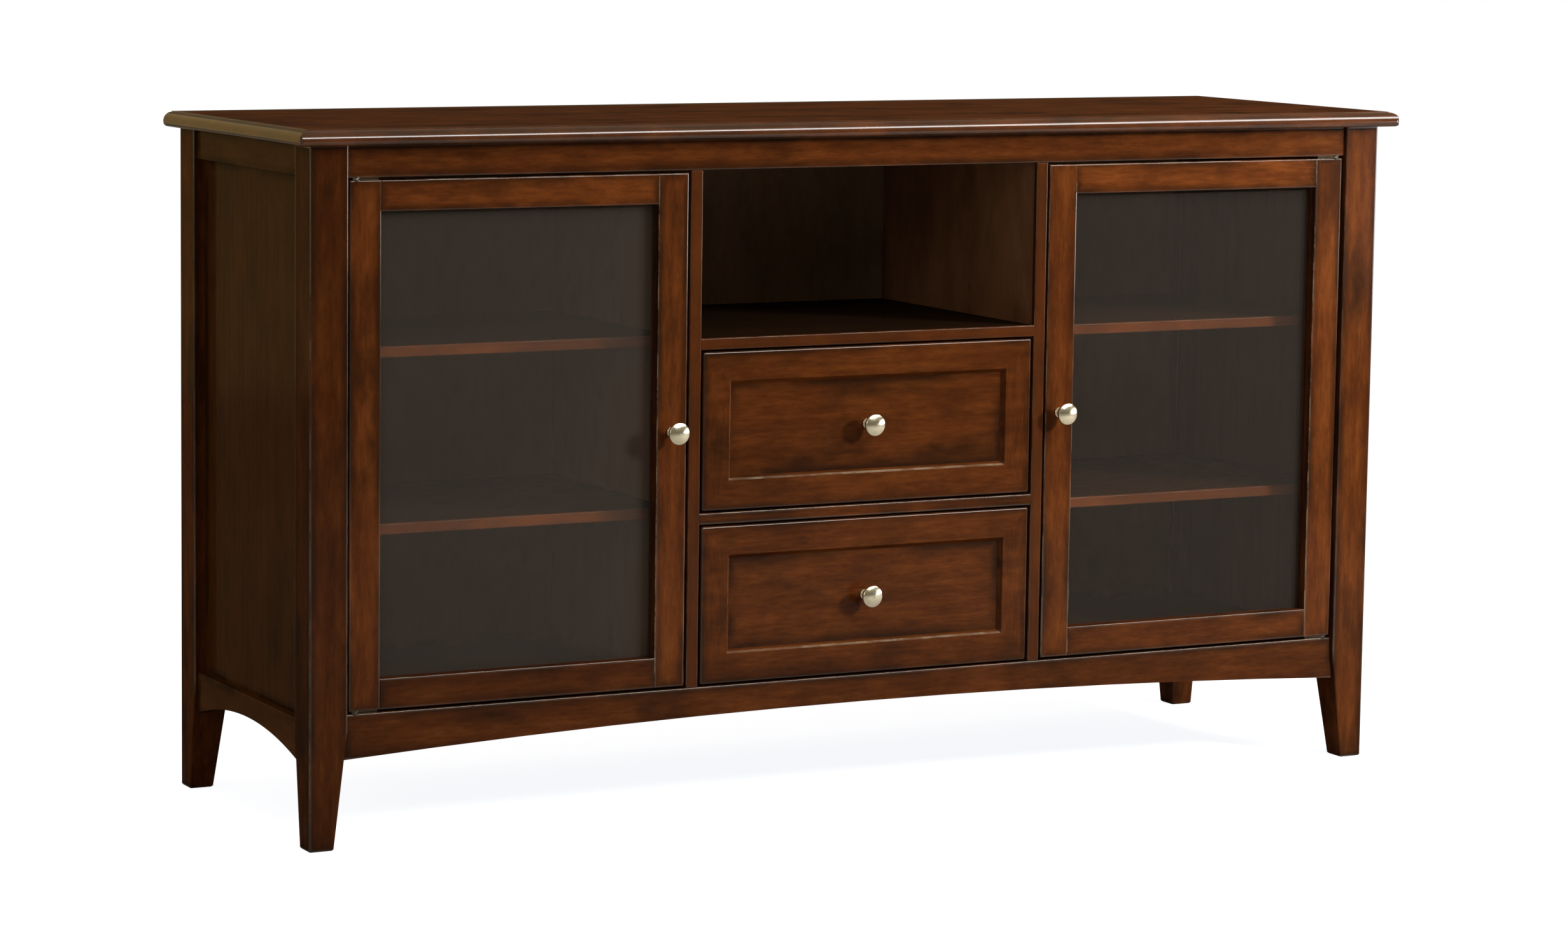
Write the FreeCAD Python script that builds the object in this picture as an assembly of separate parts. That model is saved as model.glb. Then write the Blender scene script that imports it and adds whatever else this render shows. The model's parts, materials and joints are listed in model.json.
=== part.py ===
"""Television console: a framed and panelled case on four tapered legs, with an open niche over
two drawers between two glazed doors.

Millimetres. +X runs to the right along the front, +Y to the rear and +Z up. The origin is on the
floor, under the middle of the top.
"""

import FreeCAD
import Part
import math
import os

from FreeCAD import Vector

# Overall size and the top
TOP_WIDTH = 1524.0
TOP_DEPTH = 457.0
HEIGHT = 846.0
TOP_THICKNESS = 19.0
TOP_OVERHANG_SIDE = 20.0
TOP_OVERHANG_FRONT = 20.0
TOP_OVERHANG_REAR = 5.0
TOP_UNDER_RADIUS = 6.0
TOP_LAND = 1.0
TOP_STEP = 1.0
TOP_CORNER_RADIUS = 5.0

# Legs
LEG_WIDTH = 48.0
FOOT_WIDTH = 31.0
TAPER_BELOW_RAIL = 20.0
LEG_ARRIS = 2.0
FOOT_CHAMFER = 1.5

# Rails and panels of the case
REVEAL = 5.0
RAIL_THICKNESS = 20.0
RAIL_ARRIS = 1.5
TOP_RAIL_HEIGHT = 38.0
BOTTOM_RAIL_TOP = 159.5
FRONT_ARCH_END = 106.0
FRONT_ARCH_RISE = 20.0
SIDE_RAIL_TOP = 150.0
SIDE_ARCH_END = 98.0
SIDE_ARCH_RISE = 25.5
REAR_RAIL_HEIGHT = 52.0
TENON_LENGTH = 28.0
TENON_THICKNESS = 8.0
TENON_SHOULDER = 7.0
TENON_SET_BACK = 5.0
FIT_CLEARANCE = 0.15
PANEL_RECESS = 15.0
SIDE_PANEL_LAP = 12.0
GROOVE_DEPTH = 7.0
GROOVE_FREE = 0.5
BACK_THICKNESS = 6.0
BACK_INSET = 31.5
FLOOR_THICKNESS = 16.0
FLOOR_LAP = 5.0
CLEAT_WIDTH = 20.0
CLEAT_HEIGHT = 20.0
BLOCK_REACH = 46.0
BLOCK_HEIGHT = 22.0

# Bays between the legs
CENTRE_BAY = 466.0
PARTITION_THICKNESS = 16.0
NICHE_SHELF_TOP = 585.5
NICHE_SHELF_THICKNESS = 14.0
DIVIDER_THICKNESS = 14.0
DIVIDER_DEPTH = 60.0
DADO_DEPTH = 5.0
DADO_STOP = 15.0

# Loose shelves and their pins
SHELF_THICKNESS = 13.0
SHELF_END_GAP = 1.0
SHELF_LEG_GAP = 3.0
SHELF_ARRIS = 1.5
LEFT_UPPER_SHELF_TOP = 586.0
LEFT_LOWER_SHELF_TOP = 375.5
RIGHT_UPPER_SHELF_TOP = 579.0
RIGHT_LOWER_SHELF_TOP = 357.0
PIN_RADIUS = 2.5
PIN_BURIED = 7.0
PIN_PROUD = 9.0
PIN_FROM_SHELF_END = 45.0

# Doors
DOOR_GAP = 3.0
DOOR_THICKNESS = 20.0
DOOR_STILE = 40.0
DOOR_RAIL = 37.0
DOOR_ARRIS = 2.0
DOOR_SIGHT_ARRIS = 1.5
DOOR_TENON_LENGTH = 18.0
DOOR_TENON_THICKNESS = 6.0
DOOR_TENON_SHOULDER = 7.0
GLASS_THICKNESS = 4.0
GLASS_STOP_THICKNESS = 4.0
GLASS_LAP = 8.0
GLASS_EDGE_FREE = 0.5
JOINT_LINE = 0.6

# Knife hinges of the doors
PIVOT_FROM_EDGE = 9.0
PIVOT_FROM_FACE = 6.0
HINGE_KNUCKLE_RADIUS = 6.5
HINGE_LEAF_LENGTH = 28.0
HINGE_LEAF_WIDTH = 9.0
HINGE_LEAF_THICKNESS = 2.5
HINGE_PIN_RADIUS = 2.0
HINGE_PIN_CLEARANCE = 0.05
HINGE_COLLAR_RADIUS = 4.0
HINGE_COLLAR_THICKNESS = 0.8
HINGE_COLLAR_FREE = 0.1
HINGE_PIN_SHORT = 0.5

# Magnetic catches
CATCH_BELOW_RAIL = 45.0
CATCH_LENGTH = 45.0
CATCH_WIDTH = 12.0
CATCH_DEPTH = 14.0
STRIKE_LENGTH = 40.0
STRIKE_WIDTH = 13.0
STRIKE_THICKNESS = 1.5
STRIKE_FROM_EDGE = 2.0
STRIKE_AIR = 0.3

# Drawers
DRAWER_GAP_SIDE = 3.0
DRAWER_GAP = 2.5
DRAWER_FRONT_THICKNESS = 20.0
DRAWER_FRONT_ARRIS = 3.0
DRAWER_FRAME_FLAT = 36.0
DRAWER_FRAME_BEVEL = 5.0
DRAWER_PANEL_RECESS = 6.0
DRAWER_PANEL_THICKNESS = 8.0
BOX_SIDE_AIR = 13.0
BOX_WALL = 12.0
BOX_BELOW = 16.0
BOX_ABOVE = 28.0
BOX_REAR_AIR = 10.0
BOX_BOTTOM_THICKNESS = 5.0
BOX_BOTTOM_UP = 8.0
BOX_GROOVE_DEPTH = 5.0
RUNNER_HEIGHT = 14.0
RUNNER_BITE = 5.0
RUNNER_FREE = 0.3
RUNNER_END_FREE = 0.5
RUNNER_GROOVE_STOP = 15.0

# Knobs and the screws that hold them
KNOB_RADIUS = 13.5
KNOB_PROJECTION = 24.8
KNOB_BASE_RADIUS = 6.5
KNOB_BASE_HEIGHT = 1.5
KNOB_NECK_RADIUS = 3.8
KNOB_NECK_AT = 6.5
KNOB_THROAT_RADIUS = 5.0
KNOB_THROAT_AT = 13.0
KNOB_DOME_HEIGHT = 3.2
KNOB_RIM_THICKNESS = 3.0
KNOB_RIM_ARRIS = 1.2
SCREW_RADIUS = 2.0
SCREW_HEAD_RADIUS = 4.0
SCREW_HEAD_HEIGHT = 2.2
SCREW_IN_KNOB = 9.0
SCREW_CLEARANCE = 0.25

# Planes that the pieces share
TOP_NOSE_RADIUS = TOP_THICKNESS - TOP_STEP - TOP_LAND - TOP_UNDER_RADIUS
X_LEG = TOP_WIDTH / 2 - TOP_OVERHANG_SIDE
X_BAY = X_LEG - LEG_WIDTH
Y_FRONT = -TOP_DEPTH / 2 + TOP_OVERHANG_FRONT
Y_REAR = TOP_DEPTH / 2 - TOP_OVERHANG_REAR
Y_FACE = Y_FRONT + REVEAL
Y_BACK = Y_REAR - BACK_INSET - BACK_THICKNESS
Z_TOP = HEIGHT - TOP_THICKNESS
Z_RAIL = Z_TOP - TOP_RAIL_HEIGHT
Z_TAPER = BOTTOM_RAIL_TOP - TAPER_BELOW_RAIL
X_PARTITION = CENTRE_BAY / 2
X_DOOR_BAY = X_PARTITION + PARTITION_THICKNESS
X_SIDE_INNER = X_LEG - REVEAL - RAIL_THICKNESS
Y_LEG_FRONT_INNER = Y_FRONT + LEG_WIDTH
Y_LEG_REAR_INNER = Y_REAR - LEG_WIDTH
Z_FLOOR_UNDER = BOTTOM_RAIL_TOP - FLOOR_THICKNESS
NICHE_SHELF_UNDER = NICHE_SHELF_TOP - NICHE_SHELF_THICKNESS
DRAWER_FRONT_HEIGHT = (NICHE_SHELF_UNDER - BOTTOM_RAIL_TOP - DIVIDER_THICKNESS - 4 * DRAWER_GAP) / 2
DIVIDER_UNDER = BOTTOM_RAIL_TOP + DRAWER_FRONT_HEIGHT + 2 * DRAWER_GAP
DIVIDER_TOP = DIVIDER_UNDER + DIVIDER_THICKNESS
LEFT = -1
RIGHT = 1
FRONT = -1
REAR = 1


# Small shape helpers


def box(x0, x1, y0, y1, z0, z1):
    """A box between two x, two y and two z planes, given in any order."""
    low = Vector(min(x0, x1), min(y0, y1), min(z0, z1))
    return Part.makeBox(abs(x1 - x0), abs(y1 - y0), abs(z1 - z0), low)


def prism(points, sweep):
    """A straight prism on a closed outline of points."""
    outline = [Vector(*p) for p in points]
    return Part.Face(Part.makePolygon(outline + outline[:1])).extrude(Vector(*sweep))


def grown(shape_box, amount):
    """The bounding box of a shape, grown by amount on every side."""
    b = shape_box.BoundBox
    return box(b.XMin - amount, b.XMax + amount, b.YMin - amount, b.YMax + amount,
               b.ZMin - amount, b.ZMax + amount)


def mirrored(shape):
    """The same shape on the other side of the middle plane."""
    return shape.mirror(Vector(0, 0, 0), Vector(1, 0, 0))


def on_side(shape, side):
    """A shape drawn for the left, moved to the side asked for."""
    return shape if side == LEFT else mirrored(shape)


def eased(shape, radius, wanted):
    """The shape with every edge that wanted(bounding box) picks rounded over."""
    edges = [e for e in shape.Edges if wanted(e.BoundBox)]
    return shape.makeFillet(radius, edges)


def near(a, b):
    """True where two coordinates are the same plane."""
    return abs(a - b) < 1e-4


def cylinder(radius, base, direction, length):
    """A round bar from base along direction."""
    return Part.makeCylinder(radius, length, Vector(*base), Vector(*direction))


def joint_groove(start, end):
    """A small vee along a joint line on the face plane, from start to end as (x, z)."""
    along = Vector(end[0] - start[0], 0, end[1] - start[1])
    across = Vector(along.z, 0, -along.x).normalize() * JOINT_LINE
    middle = Vector(start[0], Y_FACE, start[1])
    proud = Vector(0, -JOINT_LINE, 0)
    corners = [middle + across * 2 + proud, middle - across * 2 + proud, middle - proud]
    return Part.Face(Part.makePolygon(corners + corners[:1])).extrude(along)


# Top


def nose_outline(outer, inner, along, nose_inner):
    """The section of the top in a plane, as a face: a stepped nose at outer, and at inner if asked."""
    sign = 1 if outer > inner else -1
    land_low = Z_TOP + TOP_UNDER_RADIUS
    land_high = HEIGHT - TOP_STEP - TOP_NOSE_RADIUS
    diagonal = math.sqrt(0.5)

    def nose(edge, way):
        """Points and arcs from the underside round to the flat of the top."""
        under = edge - way * TOP_UNDER_RADIUS
        crown = edge - way * TOP_NOSE_RADIUS
        low = [(under, Z_TOP), (under + way * TOP_UNDER_RADIUS * diagonal,
                                land_low - TOP_UNDER_RADIUS * diagonal), (edge, land_low)]
        high = [(edge, land_high), (crown + way * TOP_NOSE_RADIUS * diagonal,
                                    land_high + TOP_NOSE_RADIUS * diagonal), (crown, HEIGHT - TOP_STEP)]
        return low, high, (crown, HEIGHT)

    low, high, shoulder = nose(outer, sign)
    edges = [along_arc(low, along), along_line(low[2], high[0], along), along_arc(high, along),
             along_line(high[2], shoulder, along)]
    if nose_inner:
        far_low, far_high, far_shoulder = nose(inner, -sign)
        edges += [along_line(shoulder, far_shoulder, along), along_line(far_shoulder, far_high[2], along),
                  along_arc(far_high[::-1], along), along_line(far_high[0], far_low[2], along),
                  along_arc(far_low[::-1], along), along_line(far_low[0], low[0], along)]
    else:
        edges += [along_line(shoulder, (inner, HEIGHT), along),
                  along_line((inner, HEIGHT), (inner, Z_TOP), along),
                  along_line((inner, Z_TOP), low[0], along)]
    return Part.Face(Part.Wire(edges))


def along_point(point, along):
    """A section point (across, z) on the plane where the sweep starts."""
    across, z = point
    return Vector(across, -TOP_DEPTH, z) if along == "y" else Vector(-TOP_WIDTH, across, z)


def along_line(start, end, along):
    """A straight edge of a section."""
    return Part.makeLine(along_point(start, along), along_point(end, along))


def along_arc(points, along):
    """A round edge of a section, through three points."""
    return Part.Arc(*[along_point(p, along) for p in points]).toShape()


def top_panel():
    """The top: nosed at the front and both ends, square at the rear, with softened front corners."""
    front_section = nose_outline(-TOP_DEPTH / 2, TOP_DEPTH / 2, "x", False)
    end_section = nose_outline(-TOP_WIDTH / 2, TOP_WIDTH / 2, "y", True)
    slab = front_section.extrude(Vector(2 * TOP_WIDTH, 0, 0)).common(
        end_section.extrude(Vector(0, 2 * TOP_DEPTH, 0)))
    plan = box(-TOP_WIDTH / 2, TOP_WIDTH / 2, -TOP_DEPTH / 2, TOP_DEPTH / 2, Z_TOP, HEIGHT)
    plan = eased(plan, TOP_CORNER_RADIUS,
                 lambda b: near(b.YMin, -TOP_DEPTH / 2) and near(b.YMax, b.YMin) and near(b.XMin, b.XMax))
    return slab.common(plan)


# Legs and rails


def leg_inner(z):
    """How far the inner face of a leg stands from its outer face at a height."""
    if z >= Z_TAPER:
        return LEG_WIDTH
    return FOOT_WIDTH + (LEG_WIDTH - FOOT_WIDTH) * z / Z_TAPER


def leg_section(side, end, z, inset):
    """The outline of a leg at a height: a square with soft corners, drawn in on every side by inset."""
    y_outer = Y_FRONT if end == FRONT else Y_REAR
    low, high = inset, leg_inner(z) - inset
    corners = [(low, low), (high, low), (high, high), (low, high)]
    edges = []
    for i, (u, v) in enumerate(corners):
        before, after = corners[i - 1], corners[(i + 1) % len(corners)]
        start = arris_point((u, v), before)
        stop = arris_point((u, v), after)
        middle = [c + (a + b - 2 * c) * (1 - math.sqrt(0.5)) for c, a, b in zip((u, v), start, stop)]
        edges.append(("arc", start, middle, stop))
        edges.append(("line", stop, arris_point(after, (u, v))))

    def at(point):
        return Vector(side * (X_LEG - point[0]), y_outer - end * point[1], z)

    shapes = []
    for kind, *points in edges:
        placed = [at(p) for p in points]
        shapes.append(Part.Arc(*placed).toShape() if kind == "arc" else Part.makeLine(*placed))
    return Part.Wire(shapes)


def arris_point(corner, towards):
    """The point one arris radius away from a corner, towards its neighbour."""
    length = math.hypot(towards[0] - corner[0], towards[1] - corner[1])
    return [c + (t - c) * LEG_ARRIS / length for c, t in zip(corner, towards)]


def leg(side, end, cuts):
    """A square leg that tapers on its two inner faces, with its mortises and grooves cut."""
    levels = [(0, FOOT_CHAMFER), (FOOT_CHAMFER, 0), (Z_TAPER, 0), (Z_TOP, 0)]
    shape = Part.makeLoft([leg_section(side, end, z, inset) for z, inset in levels], True, True)
    for cut in cuts:
        shape = shape.cut(cut)
    return shape


def tenon_span(z_low, z_high):
    """Lowest and highest level of a rail's tenon."""
    return z_low + TENON_SHOULDER, z_high - TENON_SHOULDER


def long_tenons(y_outer, into, z_low, z_high):
    """The two tenons of a front or rear rail; into is the way from its outer face into the rail."""
    low, high = tenon_span(z_low, z_high)
    y0 = y_outer + into * TENON_SET_BACK
    return [box(side * X_BAY, side * (X_BAY + TENON_LENGTH), y0, y0 + into * TENON_THICKNESS, low, high)
            for side in (LEFT, RIGHT)]


def side_tenons(side, z_low, z_high):
    """The two tenons of a rail that runs along a side."""
    low, high = tenon_span(z_low, z_high)
    x0 = X_LEG - REVEAL - TENON_SET_BACK
    return [box(side * x0, side * (x0 - TENON_THICKNESS), y, y + end * TENON_LENGTH, low, high)
            for y, end in ((Y_LEG_FRONT_INNER, FRONT), (Y_LEG_REAR_INNER, REAR))]


def with_tenons(rail, tenons):
    """A rail and its tenons as one piece."""
    for tenon in tenons:
        rail = rail.fuse(tenon)
    return rail.removeSplitter()


def arched_outline(reach, z_top, z_end, rise, place):
    """The face of an arched bottom rail: reach(z) is the half length at a level, place(u, z) a point."""
    corner = [(reach(z_top), z_top)]
    if z_end < Z_TAPER < z_top:
        corner.append((reach(Z_TAPER), Z_TAPER))
    corner.append((reach(z_end), z_end))
    right = [place(u, z) for u, z in corner]
    left = [place(-u, z) for u, z in corner]
    edges = [Part.makeLine(left[0], right[0])]
    edges += [Part.makeLine(a, b) for a, b in zip(right, right[1:])]
    edges.append(Part.Arc(right[-1], place(0, z_end + rise), left[-1]).toShape())
    back = left[::-1]
    edges += [Part.makeLine(a, b) for a, b in zip(back, back[1:])]
    return Part.Face(Part.Wire(edges))


def front_top_rail(hinge_cuts):
    """The straight rail over the doors and the niche."""
    rail = box(-X_BAY, X_BAY, Y_FACE, Y_FACE + RAIL_THICKNESS, Z_RAIL, Z_TOP)
    rail = eased(rail, RAIL_ARRIS, lambda b: near(b.ZMax, Z_RAIL) and near(b.YMax, Y_FACE))
    rail = with_tenons(rail, front_top_tenons())
    for cut in hinge_cuts:
        rail = rail.cut(cut)
    return rail


def front_bottom_rail(hinge_cuts):
    """The arched rail under the doors and drawers, rebated at its rear for the floor."""
    outline = arched_outline(lambda z: X_LEG - leg_inner(z), BOTTOM_RAIL_TOP, FRONT_ARCH_END,
                             FRONT_ARCH_RISE, lambda u, z: Vector(u, Y_FACE, z))
    rail = outline.extrude(Vector(0, RAIL_THICKNESS, 0))
    rail = eased(rail, RAIL_ARRIS, lambda b: near(b.ZMin, BOTTOM_RAIL_TOP) and near(b.YMax, Y_FACE))
    rebate = box(-X_LEG, X_LEG, Y_FACE + RAIL_THICKNESS - FLOOR_LAP, Y_FACE + RAIL_THICKNESS,
                 Z_FLOOR_UNDER, BOTTOM_RAIL_TOP)
    rail = with_tenons(rail.cut(rebate), front_bottom_tenons())
    for cut in hinge_cuts:
        rail = rail.cut(cut)
    return rail


def front_top_tenons():
    """Tenons of the front top rail."""
    return long_tenons(Y_FACE, REAR, Z_RAIL, Z_TOP)


def front_bottom_tenons():
    """Tenons of the front bottom rail, in front of the floor's rebate."""
    return long_tenons(Y_FACE, REAR, FRONT_ARCH_END, BOTTOM_RAIL_TOP)


def rear_rail_face():
    """The plane of the rear rails' front faces, against the back panel."""
    return Y_BACK + BACK_THICKNESS


def rear_top_rail():
    """The straight rail behind the top of the back panel."""
    y0 = rear_rail_face()
    rail = box(-X_BAY, X_BAY, y0, y0 + RAIL_THICKNESS, Z_RAIL, Z_TOP)
    return with_tenons(rail, rear_top_tenons())


def rear_top_tenons():
    """Tenons of the rear top rail."""
    return long_tenons(rear_rail_face() + RAIL_THICKNESS, FRONT, Z_RAIL, Z_TOP)


def rear_bottom_rail():
    """The straight rail behind the foot of the back panel, rebated for the floor."""
    y0 = rear_rail_face()
    z0 = BOTTOM_RAIL_TOP - REAR_RAIL_HEIGHT
    outline = [(X_BAY, BOTTOM_RAIL_TOP), (X_BAY, Z_TAPER), (X_LEG - leg_inner(z0), z0)]
    points = outline + [(-u, z) for u, z in outline[::-1]]
    rail = prism([(u, y0, z) for u, z in points], (0, RAIL_THICKNESS, 0))
    rebate = box(-X_LEG, X_LEG, y0, y0 + FLOOR_LAP, Z_FLOOR_UNDER, BOTTOM_RAIL_TOP)
    return with_tenons(rail.cut(rebate), rear_bottom_tenons())


def rear_bottom_tenons():
    """Tenons of the rear bottom rail, behind the floor's rebate."""
    return long_tenons(rear_rail_face() + RAIL_THICKNESS, FRONT, BOTTOM_RAIL_TOP - REAR_RAIL_HEIGHT,
                       BOTTOM_RAIL_TOP)


def side_panel_rebate(side, z0, z1):
    """The rebate in a side rail that takes an edge of the side panel."""
    return box(side * (X_LEG - PANEL_RECESS), side * X_SIDE_INNER, Y_LEG_FRONT_INNER - GROOVE_DEPTH,
               Y_LEG_REAR_INNER + GROOVE_DEPTH, z0, z1)


def side_top_rail(side):
    """The straight rail over a side panel."""
    x0 = side * (X_LEG - REVEAL)
    rail = box(x0, side * X_SIDE_INNER, Y_LEG_FRONT_INNER, Y_LEG_REAR_INNER, Z_RAIL, Z_TOP)
    rail = eased(rail, RAIL_ARRIS, lambda b: near(b.ZMax, Z_RAIL) and near(b.XMin, x0) and near(b.XMax, x0))
    rail = rail.cut(side_panel_rebate(side, Z_RAIL, Z_RAIL + SIDE_PANEL_LAP))
    return with_tenons(rail, side_top_tenons(side))


def side_top_tenons(side):
    """Tenons of a side top rail, above the panel's rebate."""
    return side_tenons(side, Z_RAIL + SIDE_PANEL_LAP - TENON_SHOULDER, Z_TOP)


def side_bottom_rail(side):
    """The arched rail under a side panel."""
    middle = (Y_REAR + Y_FRONT) / 2
    half = (Y_REAR - Y_FRONT) / 2
    x0 = side * (X_LEG - REVEAL)
    outline = arched_outline(lambda z: half - leg_inner(z), SIDE_RAIL_TOP, SIDE_ARCH_END, SIDE_ARCH_RISE,
                             lambda u, z: Vector(x0, middle + u, z))
    rail = outline.extrude(Vector(-side * RAIL_THICKNESS, 0, 0))
    rail = eased(rail, RAIL_ARRIS,
                 lambda b: near(b.ZMin, SIDE_RAIL_TOP) and near(b.XMin, x0) and near(b.XMax, x0))
    rail = rail.cut(side_panel_rebate(side, SIDE_RAIL_TOP - SIDE_PANEL_LAP, SIDE_RAIL_TOP))
    return with_tenons(rail, side_bottom_tenons(side))


def side_bottom_tenons(side):
    """Tenons of a side bottom rail, under the panel's rebate."""
    return side_tenons(side, SIDE_ARCH_END, SIDE_RAIL_TOP - SIDE_PANEL_LAP + TENON_SHOULDER)


# Panels, partitions and what they carry


def side_panel_box(side, free):
    """The space of a side panel; free is how far its edges stop short of their grooves' ends."""
    reach = GROOVE_DEPTH - free
    lap = SIDE_PANEL_LAP - free
    return box(side * (X_LEG - PANEL_RECESS), side * X_SIDE_INNER, Y_LEG_FRONT_INNER - reach,
               Y_LEG_REAR_INNER + reach, SIDE_RAIL_TOP - lap, Z_RAIL + lap)


def side_panel(side, pin_holes):
    """The flat panel framed by two legs and two rails, drilled for the shelf pins."""
    panel = side_panel_box(side, GROOVE_FREE)
    for hole in pin_holes:
        panel = panel.cut(hole)
    return panel


def back_panel_box(free):
    """The space of the back panel, from the floor to the top."""
    reach = X_BAY + GROOVE_DEPTH - free
    return box(-reach, reach, Y_BACK, Y_BACK + BACK_THICKNESS, BOTTOM_RAIL_TOP, Z_TOP)


def floor_panel():
    """The floor of the case, notched round the four legs and laid in the rails' rebates."""
    y0 = Y_FACE + RAIL_THICKNESS - FLOOR_LAP
    y1 = rear_rail_face() + FLOOR_LAP
    floor = box(-X_SIDE_INNER, X_SIDE_INNER, y0, y1, Z_FLOOR_UNDER, BOTTOM_RAIL_TOP)
    for side in (LEFT, RIGHT):
        floor = floor.cut(box(side * X_BAY, side * X_LEG, Y_FRONT, Y_LEG_FRONT_INNER, 0, HEIGHT))
        floor = floor.cut(box(side * X_BAY, side * X_LEG, Y_LEG_REAR_INNER, Y_REAR, 0, HEIGHT))
    return floor


def floor_cleats():
    """Two battens on the side rails that carry the ends of the floor."""
    return [box(side * X_SIDE_INNER, side * (X_SIDE_INNER - CLEAT_WIDTH), Y_LEG_FRONT_INNER, Y_LEG_REAR_INNER,
                Z_FLOOR_UNDER - CLEAT_HEIGHT, Z_FLOOR_UNDER) for side in (LEFT, RIGHT)]


def corner_blocks():
    """Four blocks that tie the legs to the rails and the back under the top."""
    z0 = Z_TOP - BLOCK_HEIGHT
    blocks = []
    for side in (LEFT, RIGHT):
        for y_rail, y_leg, way in ((Y_FACE + RAIL_THICKNESS, Y_LEG_FRONT_INNER, 1),
                                   (Y_BACK, Y_LEG_REAR_INNER, -1)):
            points = [(X_BAY - BLOCK_REACH, y_rail), (X_BAY, y_rail), (X_BAY, y_leg), (X_SIDE_INNER, y_leg),
                      (X_SIDE_INNER, y_leg + way * BLOCK_REACH)]
            blocks.append(prism([(side * x, y, z0) for x, y in points], (0, 0, BLOCK_HEIGHT)))
    return blocks


def niche_tongue(free):
    """The part of the niche shelf that is let into the two partitions."""
    reach = X_PARTITION + DADO_DEPTH - free
    return box(-reach, reach, Y_FACE + DADO_STOP, Y_BACK, NICHE_SHELF_UNDER, NICHE_SHELF_TOP)


def niche_shelf():
    """The fixed shelf under the niche, with stopped tongues at both ends."""
    shelf = box(-X_PARTITION, X_PARTITION, Y_FACE, Y_BACK, NICHE_SHELF_UNDER, NICHE_SHELF_TOP)
    shelf = eased(shelf, RAIL_ARRIS, lambda b: near(b.YMax, Y_FACE) and b.XLength > b.ZLength)
    return shelf.fuse(niche_tongue(GROOVE_FREE)).removeSplitter()


def divider_tenon(free):
    """The tongue of the drawer divider, let into both partitions."""
    reach = X_PARTITION + DADO_DEPTH - free
    return box(-reach, reach, Y_FACE + DADO_STOP, Y_FACE + DIVIDER_DEPTH, DIVIDER_UNDER, DIVIDER_TOP)


def drawer_divider_rail():
    """The rail between the two drawers."""
    rail = box(-X_PARTITION, X_PARTITION, Y_FACE, Y_FACE + DIVIDER_DEPTH, DIVIDER_UNDER, DIVIDER_TOP)
    rail = eased(rail, RAIL_ARRIS, lambda b: near(b.YMax, Y_FACE) and b.XLength > b.ZLength)
    return rail.fuse(divider_tenon(GROOVE_FREE)).removeSplitter()


def partition(side, pin_holes):
    """An upright between a door bay and the middle bay; its front edge is the slim stile that shows."""
    x0, x1 = side * X_PARTITION, side * X_DOOR_BAY
    shape = box(x0, x1, Y_FACE, Y_BACK, BOTTOM_RAIL_TOP, Z_RAIL)
    shape = eased(shape, RAIL_ARRIS, lambda b: near(b.YMax, Y_FACE))
    shape = shape.fuse(box(x0, x1, Y_FACE + RAIL_THICKNESS, Y_BACK, Z_RAIL, Z_TOP)).removeSplitter()
    for cut in [niche_tongue(0), divider_tenon(0)] + pin_holes:
        shape = shape.cut(cut)
    return shape


# Loose shelves


def shelf_span():
    """Plan limits of a loose shelf on the left: x from, x to, y from, y to."""
    return (-X_SIDE_INNER + SHELF_END_GAP, -X_DOOR_BAY - SHELF_END_GAP, Y_LEG_FRONT_INNER + SHELF_LEG_GAP,
            Y_LEG_REAR_INNER - SHELF_LEG_GAP)


def loose_shelf(side, z_top):
    """A loose shelf, with its long front edge rounded."""
    x0, x1, y0, y1 = shelf_span()
    shelf = box(x0, x1, y0, y1, z_top - SHELF_THICKNESS, z_top)
    shelf = eased(shelf, SHELF_ARRIS, lambda b: near(b.YMax, y0) and b.XLength > SHELF_THICKNESS)
    return on_side(shelf, side)


def pin_places(z_top):
    """Where the four pins under a shelf on the left enter: (x of the wall, way into the bay, y, z)."""
    _, _, y0, y1 = shelf_span()
    z = z_top - SHELF_THICKNESS - PIN_RADIUS
    return [(x, way, y, z) for x, way in ((-X_SIDE_INNER, 1), (-X_DOOR_BAY, -1))
            for y in (y0 + PIN_FROM_SHELF_END, y1 - PIN_FROM_SHELF_END)]


def shelf_pins(shelves):
    """All the pins, four under each loose shelf."""
    pins = []
    for side, z_top in shelves:
        for x, way, y, z in pin_places(z_top):
            pin = cylinder(PIN_RADIUS, (x - way * PIN_BURIED, y, z), (way, 0, 0), PIN_BURIED + PIN_PROUD)
            pins.append(on_side(pin, side))
    return pins


def pin_holes(side, z_tops, in_partition):
    """The holes for the pins in the side panel or in the partition of one bay."""
    holes = []
    for z_top in z_tops:
        for x, way, y, z in pin_places(z_top):
            if (way < 0) == in_partition:
                hole = cylinder(PIN_RADIUS, (x - way * (PIN_BURIED + FIT_CLEARANCE), y, z), (way, 0, 0),
                                PIN_BURIED + FIT_CLEARANCE)
                holes.append(on_side(hole, side))
    return holes


# Doors, drawn for the left


DOOR_X0 = -X_BAY + DOOR_GAP
DOOR_X1 = -X_DOOR_BAY - DOOR_GAP
DOOR_Z0 = BOTTOM_RAIL_TOP + DOOR_GAP
DOOR_Z1 = Z_RAIL - DOOR_GAP
SIGHT_X0 = DOOR_X0 + DOOR_STILE
SIGHT_X1 = DOOR_X1 - DOOR_STILE
SIGHT_Z0 = DOOR_Z0 + DOOR_RAIL
SIGHT_Z1 = DOOR_Z1 - DOOR_RAIL
DOOR_BACK = Y_FACE + DOOR_THICKNESS
STOP_FACE = DOOR_BACK - GLASS_STOP_THICKNESS
GLASS_FACE = STOP_FACE - GLASS_THICKNESS
PIVOT_X = DOOR_X0 + PIVOT_FROM_EDGE
PIVOT_Y = Y_FACE + PIVOT_FROM_FACE
LOCK_STILE_MIDDLE = DOOR_X1 - DOOR_STILE / 2
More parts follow.
